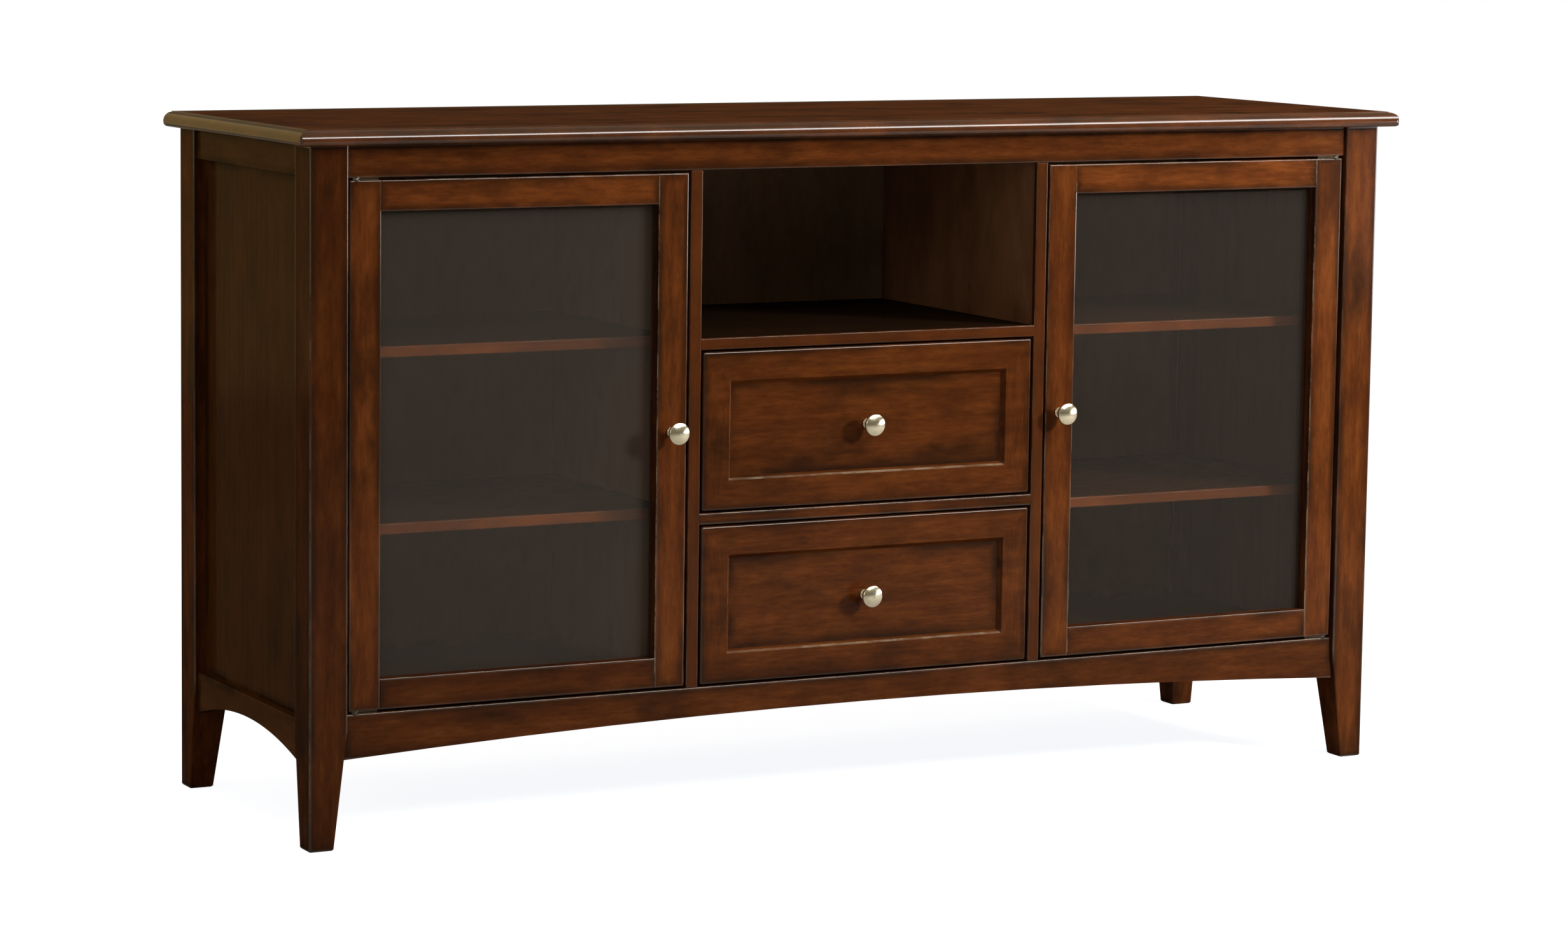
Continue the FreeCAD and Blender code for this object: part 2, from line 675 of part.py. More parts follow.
DOOR_MIDDLE = (DOOR_Z0 + DOOR_Z1) / 2
CATCH_Z1 = Z_RAIL - CATCH_BELOW_RAIL
CATCH_Z0 = CATCH_Z1 - CATCH_LENGTH


def sight_box(grow, y0, y1):
    """The glazed opening of the door, grown by a margin, between two depths."""
    return box(SIGHT_X0 - grow, SIGHT_X1 + grow, y0, y1, SIGHT_Z0 - grow, SIGHT_Z1 + grow)


def door_blank():
    """The whole door frame before it is parted at its joints."""
    blank = box(DOOR_X0, DOOR_X1, Y_FACE, DOOR_BACK, DOOR_Z0, DOOR_Z1)
    blank = eased(blank, DOOR_ARRIS, lambda b: near(b.YMax, Y_FACE))
    blank = blank.cut(sight_box(0, Y_FACE, DOOR_BACK))
    blank = eased(blank, DOOR_SIGHT_ARRIS, lambda b: near(b.YMax, Y_FACE) and b.XMin > SIGHT_X0 - JOINT_LINE
                  and b.XMax < SIGHT_X1 + JOINT_LINE and b.ZMin > SIGHT_Z0 - JOINT_LINE
                  and b.ZMax < SIGHT_Z1 + JOINT_LINE)
    blank = blank.cut(sight_box(GLASS_LAP, GLASS_FACE, DOOR_BACK))
    for x in (SIGHT_X0, SIGHT_X1):
        for z0, z1 in ((DOOR_Z0, SIGHT_Z0), (SIGHT_Z1, DOOR_Z1)):
            blank = blank.cut(joint_groove((x, z0), (x, z1)))
    return blank


def door_tenons():
    """The four tenons of the door's rails, as (rail, box)."""
    y0 = Y_FACE + (GLASS_FACE - Y_FACE - DOOR_TENON_THICKNESS) / 2
    tenons = []
    for rail, z0, z1 in (("bottom", DOOR_Z0, SIGHT_Z0), ("top", SIGHT_Z1, DOOR_Z1)):
        for x, way in ((SIGHT_X0, -1), (SIGHT_X1, 1)):
            tenons.append((rail, box(x, x + way * DOOR_TENON_LENGTH, y0, y0 + DOOR_TENON_THICKNESS,
                                     z0 + DOOR_TENON_SHOULDER, z1 - DOOR_TENON_SHOULDER)))
    return tenons


def door_frame(leaf_cuts):
    """The stiles and rails of the left door, by name."""
    blank = door_blank()
    tenons = door_tenons()
    pieces = {
        "hinge_stile": blank.common(box(DOOR_X0, SIGHT_X0, Y_FACE, DOOR_BACK, DOOR_Z0, DOOR_Z1)),
        "lock_stile": blank.common(box(SIGHT_X1, DOOR_X1, Y_FACE, DOOR_BACK, DOOR_Z0, DOOR_Z1)),
        "top_rail": blank.common(box(SIGHT_X0, SIGHT_X1, Y_FACE, DOOR_BACK, SIGHT_Z1 - GLASS_LAP, DOOR_Z1)),
        "bottom_rail": blank.common(box(SIGHT_X0, SIGHT_X1, Y_FACE, DOOR_BACK, DOOR_Z0, SIGHT_Z0 + GLASS_LAP)),
    }
    for rail, tenon in tenons:
        pieces[rail + "_rail"] = pieces[rail + "_rail"].fuse(tenon).removeSplitter()
        for stile in ("hinge_stile", "lock_stile"):
            pieces[stile] = pieces[stile].cut(grown(tenon, FIT_CLEARANCE))
    for cut in leaf_cuts:
        pieces["hinge_stile"] = pieces["hinge_stile"].cut(cut)
    hole = cylinder(SCREW_RADIUS + SCREW_CLEARANCE, (LOCK_STILE_MIDDLE, Y_FACE, DOOR_MIDDLE), (0, 1, 0),
                    DOOR_THICKNESS)
    pieces["lock_stile"] = pieces["lock_stile"].cut(hole)
    return pieces


def door_glass():
    """The pane, a little smaller than the rebate it lies in."""
    return sight_box(GLASS_LAP - GLASS_EDGE_FREE, GLASS_FACE, STOP_FACE)


def glass_stops():
    """Four strips behind the pane: two uprights, and two lengths between them."""
    strips = []
    for x, way in ((SIGHT_X0, -1), (SIGHT_X1, 1)):
        strips.append(box(x, x + way * GLASS_LAP, STOP_FACE, DOOR_BACK, SIGHT_Z0 - GLASS_LAP,
                          SIGHT_Z1 + GLASS_LAP))
    for z, way in ((SIGHT_Z0, -1), (SIGHT_Z1, 1)):
        strips.append(box(SIGHT_X0, SIGHT_X1, STOP_FACE, DOOR_BACK, z, z + way * GLASS_LAP))
    return strips


def hinge_plate(z0, grow):
    """A knife-hinge leaf lying flat at a level: a round knuckle on the pivot and a straight tail."""
    knuckle = cylinder(HINGE_KNUCKLE_RADIUS + grow, (PIVOT_X, PIVOT_Y, z0 - grow), (0, 0, 1),
                       HINGE_LEAF_THICKNESS + 2 * grow)
    tail = box(PIVOT_X, PIVOT_X + HINGE_LEAF_LENGTH + grow, PIVOT_Y - HINGE_LEAF_WIDTH / 2 - grow,
               PIVOT_Y + HINGE_LEAF_WIDTH / 2 + grow, z0 - grow, z0 + HINGE_LEAF_THICKNESS + grow)
    return knuckle.fuse(tail).removeSplitter()


def hinge_levels():
    """Lower faces of the case leaf and the door leaf, at the foot and at the head of the door."""
    leaf_pitch = HINGE_LEAF_THICKNESS + HINGE_COLLAR_THICKNESS + 2 * HINGE_COLLAR_FREE
    case_foot = BOTTOM_RAIL_TOP + (DOOR_GAP - leaf_pitch - HINGE_LEAF_THICKNESS) / 2
    door_head = DOOR_Z1 + (DOOR_GAP - leaf_pitch - HINGE_LEAF_THICKNESS) / 2
    return [(case_foot, case_foot + leaf_pitch), (door_head + leaf_pitch, door_head)]


def hinge_bore(radius):
    """A bore along the pivot, over the whole height of the door bay."""
    return cylinder(radius, (PIVOT_X, PIVOT_Y, 0), (0, 0, 1), HEIGHT)


def case_leaves():
    """The two leaves let into the rails, bored to the pin's own size."""
    return [hinge_plate(case, 0).cut(hinge_bore(HINGE_PIN_RADIUS)) for case, _ in hinge_levels()]


def door_leaves():
    """The two leaves let into the door, bored to run on the pins."""
    bore = hinge_bore(HINGE_PIN_RADIUS + HINGE_PIN_CLEARANCE)
    return [hinge_plate(door, 0).cut(bore) for _, door in hinge_levels()]


def hinge_pins():
    """Two pins, each with a collar between the leaves that carries the door."""
    pins = []
    for case, door in hinge_levels():
        low, high = min(case, door), max(case, door)
        short_low = HINGE_PIN_SHORT if door < case else 0
        short_high = HINGE_PIN_SHORT if door > case else 0
        pin = cylinder(HINGE_PIN_RADIUS, (PIVOT_X, PIVOT_Y, low + short_low), (0, 0, 1),
                       high + HINGE_LEAF_THICKNESS - short_high - low - short_low)
        collar = cylinder(HINGE_COLLAR_RADIUS,
                          (PIVOT_X, PIVOT_Y, low + HINGE_LEAF_THICKNESS + HINGE_COLLAR_FREE), (0, 0, 1),
                          HINGE_COLLAR_THICKNESS)
        pins.append(pin.fuse(collar).removeSplitter())
    return pins


def case_leaf_cuts(index):
    """Recesses in a front rail for the case leaves of both doors; index 0 is the foot, 1 the head."""
    cut = hinge_plate(hinge_levels()[index][0], FIT_CLEARANCE)
    return [on_side(cut, side) for side in (LEFT, RIGHT)]


def door_leaf_cuts():
    """Recesses in the hinge stile for the door leaves."""
    return [hinge_plate(door, FIT_CLEARANCE) for _, door in hinge_levels()]


def door_strike():
    """The steel plate on the door that the magnet holds."""
    x1 = DOOR_X1 - STRIKE_FROM_EDGE
    middle = (CATCH_Z0 + CATCH_Z1) / 2
    plate = box(x1 - STRIKE_WIDTH, x1, DOOR_BACK, DOOR_BACK + STRIKE_THICKNESS, middle - STRIKE_LENGTH / 2,
                middle + STRIKE_LENGTH / 2)
    return eased(plate, STRIKE_THICKNESS, lambda b: near(b.XMin, b.XMax) and near(b.ZMin, b.ZMax))


def door_catch():
    """The magnet's housing on the partition, just behind the strike."""
    y0 = DOOR_BACK + STRIKE_THICKNESS + STRIKE_AIR
    body = box(-X_DOOR_BAY, -X_DOOR_BAY - CATCH_WIDTH, y0, y0 + CATCH_DEPTH, CATCH_Z0, CATCH_Z1)
    return eased(body, RAIL_ARRIS, lambda b: near(b.XMin, -X_DOOR_BAY - CATCH_WIDTH) and near(b.XMin, b.XMax))


# Knobs


def knob_section():
    """Half of the turned knob, on its axis: foot, waist, throat, rim and dome."""
    dome_at = KNOB_PROJECTION - KNOB_DOME_HEIGHT
    rim_at = dome_at - KNOB_RIM_THICKNESS
    dome_radius = (KNOB_RADIUS ** 2 + KNOB_DOME_HEIGHT ** 2) / (2 * KNOB_DOME_HEIGHT)
    half_turn = math.asin(KNOB_RADIUS / dome_radius) / 2
    dome_middle = (dome_radius * math.sin(half_turn), KNOB_PROJECTION - dome_radius * (1 - math.cos(half_turn)))
    axis_foot, axis_top = (0, 0), (0, KNOB_PROJECTION)
    foot_low, foot_high = (KNOB_BASE_RADIUS, 0), (KNOB_BASE_RADIUS, KNOB_BASE_HEIGHT)
    neck, throat = (KNOB_NECK_RADIUS, KNOB_NECK_AT), (KNOB_THROAT_RADIUS, KNOB_THROAT_AT)
    rim_low, rim_high = (KNOB_RADIUS, rim_at), (KNOB_RADIUS, dome_at)

    def at(point):
        return Vector(point[0], -point[1], 0)

    lines = ((axis_foot, foot_low), (foot_low, foot_high), (throat, rim_low), (rim_low, rim_high),
             (axis_top, axis_foot))
    arcs = ((foot_high, neck, throat), (rim_high, dome_middle, axis_top))
    edges = [Part.makeLine(at(a), at(b)) for a, b in lines]
    edges += [Part.Arc(at(a), at(b), at(c)).toShape() for a, b, c in arcs]
    return Part.Face(Part.Wire(Part.__sortEdges__(edges)))


def knob(x, y_seat, z, y_nut):
    """A mushroom knob seated at y_seat, and the screw that reaches it from y_nut, as two solids."""
    turned = knob_section().revolve(Vector(0, 0, 0), Vector(0, 1, 0), 360)
    turned = eased(turned, KNOB_RIM_ARRIS, lambda b: near(b.XLength, 2 * KNOB_RADIUS))
    turned.translate(Vector(x, y_seat, z))
    shank = cylinder(SCREW_RADIUS, (x, y_seat - SCREW_IN_KNOB, z), (0, 1, 0), y_nut - y_seat + SCREW_IN_KNOB)
    head = cylinder(SCREW_HEAD_RADIUS, (x, y_nut, z), (0, 1, 0), SCREW_HEAD_HEIGHT)
    return [turned.cut(shank), shank.fuse(head).removeSplitter()]


def door_knob():
    """The knob on the left door's lock stile."""
    return knob(LOCK_STILE_MIDDLE, Y_FACE, DOOR_MIDDLE, DOOR_BACK)


# Drawers


class Drawer:
    """One drawer, by the level of its front's lower edge."""

    def __init__(self, z0):
        self.z0 = z0
        self.z1 = z0 + DRAWER_FRONT_HEIGHT
        self.x1 = X_PARTITION - DRAWER_GAP_SIDE
        self.front_back = Y_FACE + DRAWER_FRONT_THICKNESS
        self.panel_face = Y_FACE + DRAWER_PANEL_RECESS
        self.box_x = X_PARTITION - BOX_SIDE_AIR
        self.box_y1 = Y_BACK - BOX_REAR_AIR
        self.box_z0 = self.z0 + BOX_BELOW
        self.box_z1 = self.z1 - BOX_ABOVE
        self.runner_z0 = (self.box_z0 + self.box_z1 - RUNNER_HEIGHT) / 2
        self.middle = (self.z0 + self.z1) / 2

    def rectangle(self, inset, y):
        """The front's outline, inset, as a wire at a depth."""
        x, z0, z1 = self.x1 - inset, self.z0 + inset, self.z1 - inset
        corners = [Vector(-x, y, z0), Vector(x, y, z0), Vector(x, y, z1), Vector(-x, y, z1)]
        return Part.makePolygon(corners + corners[:1])

    def inset_box(self, inset, y0, y1):
        """The front's outline, inset, as a box between two depths."""
        return box(-self.x1 + inset, self.x1 - inset, y0, y1, self.z0 + inset, self.z1 - inset)

    def front_frame(self):
        """Four mitred lengths round the panel, bevelled down to it."""
        border = DRAWER_FRAME_FLAT + DRAWER_FRAME_BEVEL
        blank = eased(self.inset_box(0, Y_FACE, self.front_back), DRAWER_FRONT_ARRIS,
                      lambda b: near(b.YMax, Y_FACE) or (near(b.XMin, b.XMax) and near(b.ZMin, b.ZMax)))
        mouth, foot = self.rectangle(DRAWER_FRAME_FLAT, Y_FACE), self.rectangle(border, self.panel_face)
        dish = Part.makeLoft([mouth, foot], True, True)
        blank = blank.cut(dish).cut(self.inset_box(border, self.panel_face, self.front_back))
        blank = blank.cut(self.inset_box(border - GROOVE_DEPTH, self.panel_face,
                                         self.panel_face + DRAWER_PANEL_THICKNESS))
        x, z0, z1 = self.x1, self.z0, self.z1
        outer = [(-x, z0), (x, z0), (x, z1), (-x, z1)]
        inner = [(-x + border, z0 + border), (x - border, z0 + border), (x - border, z1 - border),
                 (-x + border, z1 - border)]
        pieces = []
        for i in range(len(outer)):
            j = (i + 1) % len(outer)
            quarter = prism([(u, Y_FACE, w) for u, w in (outer[i], outer[j], inner[j], inner[i])],
                            (0, DRAWER_FRONT_THICKNESS, 0))
            pieces.append(blank.common(quarter))
        return pieces

    def front_panel(self):
        """The flat panel held in the frame's grooves."""
        inset = DRAWER_FRAME_FLAT + DRAWER_FRAME_BEVEL - GROOVE_DEPTH + GROOVE_FREE
        panel = self.inset_box(inset, self.panel_face, self.panel_face + DRAWER_PANEL_THICKNESS)
        return panel.cut(self.screw_hole())

    def screw_hole(self):
        """The knob screw's hole, through the panel and the box behind it."""
        return cylinder(SCREW_RADIUS + SCREW_CLEARANCE, (0, Y_FACE, self.middle), (0, 1, 0),
                        DRAWER_FRONT_THICKNESS + 2 * BOX_WALL)

    def bottom_box(self, free):
        """The space of the drawer's bottom, let into its four walls."""
        reach = BOX_WALL - BOX_GROOVE_DEPTH + free
        return box(-self.box_x + reach, self.box_x - reach, self.front_back + reach, self.box_y1 - reach,
                   self.box_z0 + BOX_BOTTOM_UP, self.box_z0 + BOX_BOTTOM_UP + BOX_BOTTOM_THICKNESS)

    def walls(self):
        """Two sides, grooved for the runners, with the inner front and the back between them."""
        pieces = []
        for side in (LEFT, RIGHT):
            wall = box(side * self.box_x, side * (self.box_x - BOX_WALL), self.front_back, self.box_y1,
                       self.box_z0, self.box_z1)
            groove = box(side * self.box_x, side * (self.box_x - RUNNER_BITE - RUNNER_END_FREE),
                         self.front_back + RUNNER_GROOVE_STOP, self.box_y1, self.runner_z0 - RUNNER_FREE,
                         self.runner_z0 + RUNNER_HEIGHT + RUNNER_FREE)
            pieces.append(wall.cut(groove))
        inner = self.box_x - BOX_WALL
        for y0 in (self.front_back, self.box_y1 - BOX_WALL):
            pieces.append(box(-inner, inner, y0, y0 + BOX_WALL, self.box_z0, self.box_z1))
        pieces = [p.cut(self.bottom_box(0)) for p in pieces]
        pieces[2] = pieces[2].cut(self.screw_hole())
        return pieces

    def bottom(self):
        """The thin bottom panel."""
        return self.bottom_box(GROOVE_FREE)

    def runners(self):
        """The two battens on the partitions that carry the drawer."""
        y0 = self.front_back + RUNNER_GROOVE_STOP + RUNNER_END_FREE
        return [box(side * X_PARTITION, side * (self.box_x - RUNNER_BITE), y0, self.box_y1, self.runner_z0,
                    self.runner_z0 + RUNNER_HEIGHT) for side in (LEFT, RIGHT)]

    def knob(self):
        """The knob in the middle of the panel."""
        return knob(0, self.panel_face, self.middle, self.front_back + BOX_WALL)


# The whole console, by node name


def legs():
    """The four legs, each cut for the rails, the side panel and the back that enter it."""
    joints = front_top_tenons() + front_bottom_tenons() + rear_top_tenons() + rear_bottom_tenons()
    for side in (LEFT, RIGHT):
        joints += side_top_tenons(side) + side_bottom_tenons(side)
    cuts = [grown(j, FIT_CLEARANCE) for j in joints]
    cuts += [side_panel_box(side, 0) for side in (LEFT, RIGHT)] + [back_panel_box(0)]
    names = {(LEFT, FRONT): "front_left_leg", (RIGHT, FRONT): "front_right_leg",
             (LEFT, REAR): "rear_left_leg", (RIGHT, REAR): "rear_right_leg"}
    return {name: leg(side, end, cuts) for (side, end), name in names.items()}


def doors():
    """Every node of the two doors."""
    nodes = {}
    frame = door_frame(door_leaf_cuts())
    for side, hand in ((LEFT, "left"), (RIGHT, "right")):
        for name, piece in frame.items():
            nodes[f"{hand}_door_{name}"] = on_side(piece, side)
        nodes[f"{hand}_door_glass"] = on_side(door_glass(), side)
        nodes[f"{hand}_door_glass_stops"] = [on_side(s, side) for s in glass_stops()]
        nodes[f"{hand}_door_hinge_leaves"] = [on_side(s, side) for s in door_leaves()]
        nodes[f"{hand}_door_strike"] = on_side(door_strike(), side)
        nodes[f"{hand}_door_knob"] = [on_side(s, side) for s in door_knob()]
    return nodes


def drawers():
    """Every node of the two drawers, and the runners that stay in the case."""
    nodes = {"drawer_runners": []}
    for name, seat in (("lower_drawer", BOTTOM_RAIL_TOP), ("upper_drawer", DIVIDER_TOP)):
        drawer = Drawer(seat + DRAWER_GAP)
        nodes[f"{name}_front_frame"] = drawer.front_frame()
        nodes[f"{name}_front_panel"] = drawer.front_panel()
        nodes[f"{name}_walls"] = drawer.walls()
        nodes[f"{name}_bottom"] = drawer.bottom()
        nodes[f"{name}_knob"] = drawer.knob()
        nodes["drawer_runners"] += drawer.runners()
    return nodes


def console():
    """All the nodes, each a shape or a list of separate solids."""
    shelf_tops = {LEFT: (LEFT_UPPER_SHELF_TOP, LEFT_LOWER_SHELF_TOP),
                  RIGHT: (RIGHT_UPPER_SHELF_TOP, RIGHT_LOWER_SHELF_TOP)}
    nodes = {"top_panel": top_panel(), **legs()}
    nodes["front_top_rail"] = front_top_rail(case_leaf_cuts(1))
    nodes["front_bottom_rail"] = front_bottom_rail(case_leaf_cuts(0))
    nodes["rear_top_rail"] = rear_top_rail()
    nodes["rear_bottom_rail"] = rear_bottom_rail()
    for side, hand in ((LEFT, "left"), (RIGHT, "right")):
        nodes[f"{hand}_side_top_rail"] = side_top_rail(side)
        nodes[f"{hand}_side_bottom_rail"] = side_bottom_rail(side)
        nodes[f"{hand}_side_panel"] = side_panel(side, pin_holes(side, shelf_tops[side], False))
        nodes[f"{hand}_partition"] = partition(side, pin_holes(side, shelf_tops[side], True))
        for level, z_top in zip(("upper", "lower"), shelf_tops[side]):
            nodes[f"{hand}_{level}_shelf"] = loose_shelf(side, z_top)
    nodes["shelf_pins"] = shelf_pins([(side, z) for side in shelf_tops for z in shelf_tops[side]])
    nodes["back_panel"] = back_panel_box(GROOVE_FREE)
    nodes["floor_panel"] = floor_panel()
    nodes["floor_cleats"] = floor_cleats()
    nodes["corner_blocks"] = corner_blocks()
    nodes["niche_shelf"] = niche_shelf()
    nodes["drawer_divider_rail"] = drawer_divider_rail()
    nodes["hinge_case_leaves"] = [on_side(s, side) for side in (LEFT, RIGHT) for s in case_leaves()]
    nodes["hinge_pins"] = [on_side(s, side) for side in (LEFT, RIGHT) for s in hinge_pins()]
    nodes["door_catches"] = [on_side(door_catch(), side) for side in (LEFT, RIGHT)]
    nodes.update(doors())
    nodes.update(drawers())
    return nodes


def main():
    """Write one STEP file for each node."""
    os.makedirs("parts", exist_ok=True)
    for name, shape in console().items():
        solids = [s for piece in (shape if isinstance(shape, list) else [shape]) for s in piece.Solids]
        whole = solids[0] if len(solids) == 1 else Part.makeCompound(solids)
        whole.exportStep(os.path.join("parts", name + ".step"))
        print(name, len(solids), "solids,", "valid" if whole.isValid() else "NOT VALID")


main()
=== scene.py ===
"""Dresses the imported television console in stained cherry, smoky glass and nickel, in a studio.

Metres, in the frame of the part: +X runs to the right along the front, +Y to the rear and +Z up.
"""

import json
import logging
import math
import zlib
from collections.abc import Iterable, Mapping
from dataclasses import dataclass, replace
from enum import Enum
from typing import Any

import bmesh
import bpy
from mathutils import Matrix, Vector

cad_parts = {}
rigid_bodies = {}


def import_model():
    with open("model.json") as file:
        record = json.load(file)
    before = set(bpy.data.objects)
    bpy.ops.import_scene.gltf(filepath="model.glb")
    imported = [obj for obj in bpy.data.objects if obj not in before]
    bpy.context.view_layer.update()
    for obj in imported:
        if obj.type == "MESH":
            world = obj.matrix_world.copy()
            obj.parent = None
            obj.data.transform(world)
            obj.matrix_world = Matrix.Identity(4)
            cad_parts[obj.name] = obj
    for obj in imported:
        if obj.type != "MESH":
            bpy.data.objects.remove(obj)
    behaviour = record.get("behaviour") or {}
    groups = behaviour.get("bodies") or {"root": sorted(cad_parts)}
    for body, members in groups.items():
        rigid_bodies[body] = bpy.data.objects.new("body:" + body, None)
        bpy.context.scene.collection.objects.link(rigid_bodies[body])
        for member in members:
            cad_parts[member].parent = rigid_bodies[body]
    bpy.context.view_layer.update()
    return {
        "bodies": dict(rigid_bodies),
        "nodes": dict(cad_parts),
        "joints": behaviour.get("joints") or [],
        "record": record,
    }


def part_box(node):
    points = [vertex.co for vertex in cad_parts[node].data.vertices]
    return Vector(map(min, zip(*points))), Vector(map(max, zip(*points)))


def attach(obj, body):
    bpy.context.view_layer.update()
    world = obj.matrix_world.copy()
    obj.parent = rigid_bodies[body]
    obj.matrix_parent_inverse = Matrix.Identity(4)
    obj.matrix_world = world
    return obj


LOG = logging.getLogger("console")

Colour = tuple[float, float, float]
Triple = tuple[float, float, float]
Span = tuple[float, float]

ORIGIN: Triple = (0.0, 0.0, 0.0)
UNTURNED: Triple = (0.0, 0.0, 0.0)
REARWARD = Vector((0, 1, 0))
FRONT: Triple = (0.1, -0.2, 0.5)

# Features to the metre of the patterns in wood: along the grain, and twice across it.
CLOUD_SCALE: Triple = (7.0, 15.0, 15.0)
MOTTLE_SCALE: Triple = (11.0, 28.0, 28.0)
WEAR_AND_HIGHLIGHT_SCALE: Triple = (24.0, 60.0, 60.0)
FIBRE_SCALE: Triple = (30.0, 230.0, 230.0)
PORE_SCALE: Triple = (60.0, 1250.0, 1250.0)

# Features to the metre of the patterns on metal, glass and the floor, along X, Y and Z.
TARNISH_SCALE: Triple = (120.0, 120.0, 120.0)
SMEAR_SCALE: Triple = (6.0, 6.0, 14.0)
FLOOR_SCALE: Triple = (1.5, 1.5, 1.5)

# Growth rings: their stretch along the grain, where the pith lies beside the board's middle, how
# far they wander, in how many steps of detail and at what scale, and their spacing in a wave
# texture of scale 1.
RING_SCALE: Triple = (0.12, 1.0, 1.0)
RING_PITH: Span = (0.11, 0.07)
RING_WANDER = 6.0
RING_DETAIL = 2.0
RING_DETAIL_SCALE = 0.8
RING_UNIT = 0.314

# Where a pattern of 0 to 1 begins to count, and where it counts in full.
GLAZE_AND_SHADE_BETWEEN: Span = (0.3, 0.6)
DARK_CLOUD_BETWEEN: Span = (0.48, 0.74)
WORN_AND_LIT_BETWEEN: Span = (0.4, 0.62)
PORES_BETWEEN: Span = (0.6, 0.72)
TARNISH_BETWEEN: Span = (0.35, 0.75)

# Widths over which one thing on a board gives way to the next.
LIP_JOINT = 0.0004
RUB_AND_HIGHLIGHT_FADE = 0.001
MITRE_JOINT = 0.0001
MITRE_FADE = 0.002

# A frame's inner edge, partly abraded and partly painted with a pale highlight where light
# catches it: the line from its outside to its core, how strong it is at least and what the
# patches add, its share on the left member, and how far that member reaches past it.
LINE_BETWEEN: Span = (0.0016, 0.0006)
LINE_LEAST = 0.2
HIGHLIGHT_LINE_PATCHES = 0.45
LINE_ON_LEFT = 0.35
LINE_MARGIN = 0.003

# The surface: depth of pores beside fibres, their mean height, and how much clouds, fibres and
# abraded, painted-highlight edges roughen it; the lacquer; the shares of their reach in which
# lacquer and the abraded, painted-highlight edges are full.
PORE_DEPTH = 0.8
MEAN_RELIEF = 0.4
ROUGHENED_BY: Triple = (0.2, 0.1, 0.2)
LACQUER_ROUGHNESS = 0.14
LACQUER_IOR = 1.65
LACQUER_FULL = 0.6
RUB_AND_HIGHLIGHT_FULL = 0.3

# Metal: how much tarnish there is at most, and how much lines and tarnish roughen it.
TARNISH_MOST = 0.5
METAL_ROUGHENED_BY: Span = (0.1, 0.12)

# A screw's cross: its depth as a share of the head, and how level a face of the crown is.
CROSS_DEPTH = 0.6
CROWN_LEVEL = 0.9

# Vertices nearer to each other than this are merged.
MERGED_WITHIN = 1e-7

# Distance in a pattern from one place for a seed to the next.
SEED_STEP = 0.37


class Grain(Enum):
    """The way a board's fibres run, with the turn that lays a pattern's own X along them."""

    ACROSS = (0.0, 0.0, 0.0)
    BACK = (0.0, 0.0, math.pi / 2)
    UP = (0.0, -math.pi / 2, 0.0)


class Blend(Enum):
    """What a Mix node mixes: its data type, the places of its two inputs and of its output."""

    COLOUR = ("RGBA", 6, 7, 2)
    PLACE = ("VECTOR", 4, 5, 1)


class Side(Enum):
    """The two doors, by the hand they are on and the sign of their X."""

    LEFT = -1
    RIGHT = 1


class Level(Enum):
    """The two drawers, one over the other."""

    UPPER = "upper"
    LOWER = "lower"


class Shade:
    """A socket in a recipe that Python's operators act on by adding Math nodes."""

    def __init__(self, recipe: "Recipe", socket: bpy.types.NodeSocket) -> None:
        """Keep the socket and the recipe that it belongs to."""
        self.recipe = recipe
        self.socket = socket

    def worked(self, operation: str, *terms: "Shade | float") -> "Shade":
        """Put the terms through one Math node."""
        return self.recipe.node("ShaderNodeMath", {"operation": operation}, dict(enumerate(terms)))

    def __add__(self, other: "Shade | float") -> "Shade":
        """Return the sum."""
        return self.worked("ADD", self, other)

    __radd__ = __add__

    def __sub__(self, other: "Shade | float") -> "Shade":
        """Return the difference."""
        return self.worked("SUBTRACT", self, other)

    def __rsub__(self, other: float) -> "Shade":
        """Return a number less this value."""
        return self.worked("SUBTRACT", other, self)

    def __mul__(self, other: "Shade | float") -> "Shade":
        """Return the product."""
        return self.worked("MULTIPLY", self, other)

    __rmul__ = __mul__

    def __pow__(self, other: float) -> "Shade":
        """Return this value to a power."""
        return self.worked("POWER", self, other)

    def __abs__(self) -> "Shade":
        """Return the value without its sign."""
        return self.worked("ABSOLUTE", self)

    def least(self, other: "Shade | float") -> "Shade":
        """Return the smaller of two values."""
        return self.worked("MINIMUM", self, other)

    def most(self, other: "Shade | float") -> "Shade":
        """Return the larger of two values."""
        return self.worked("MAXIMUM", self, other)

    def rise(self, low: float, high: float) -> "Shade":
        """Return 0 below low, 1 above high and a smooth step between; high may be the smaller."""
        return self.recipe.node("ShaderNodeMapRange", {"interpolation_type": "SMOOTHSTEP"},
                                {"Value": self, "From Min": low, "From Max": high})


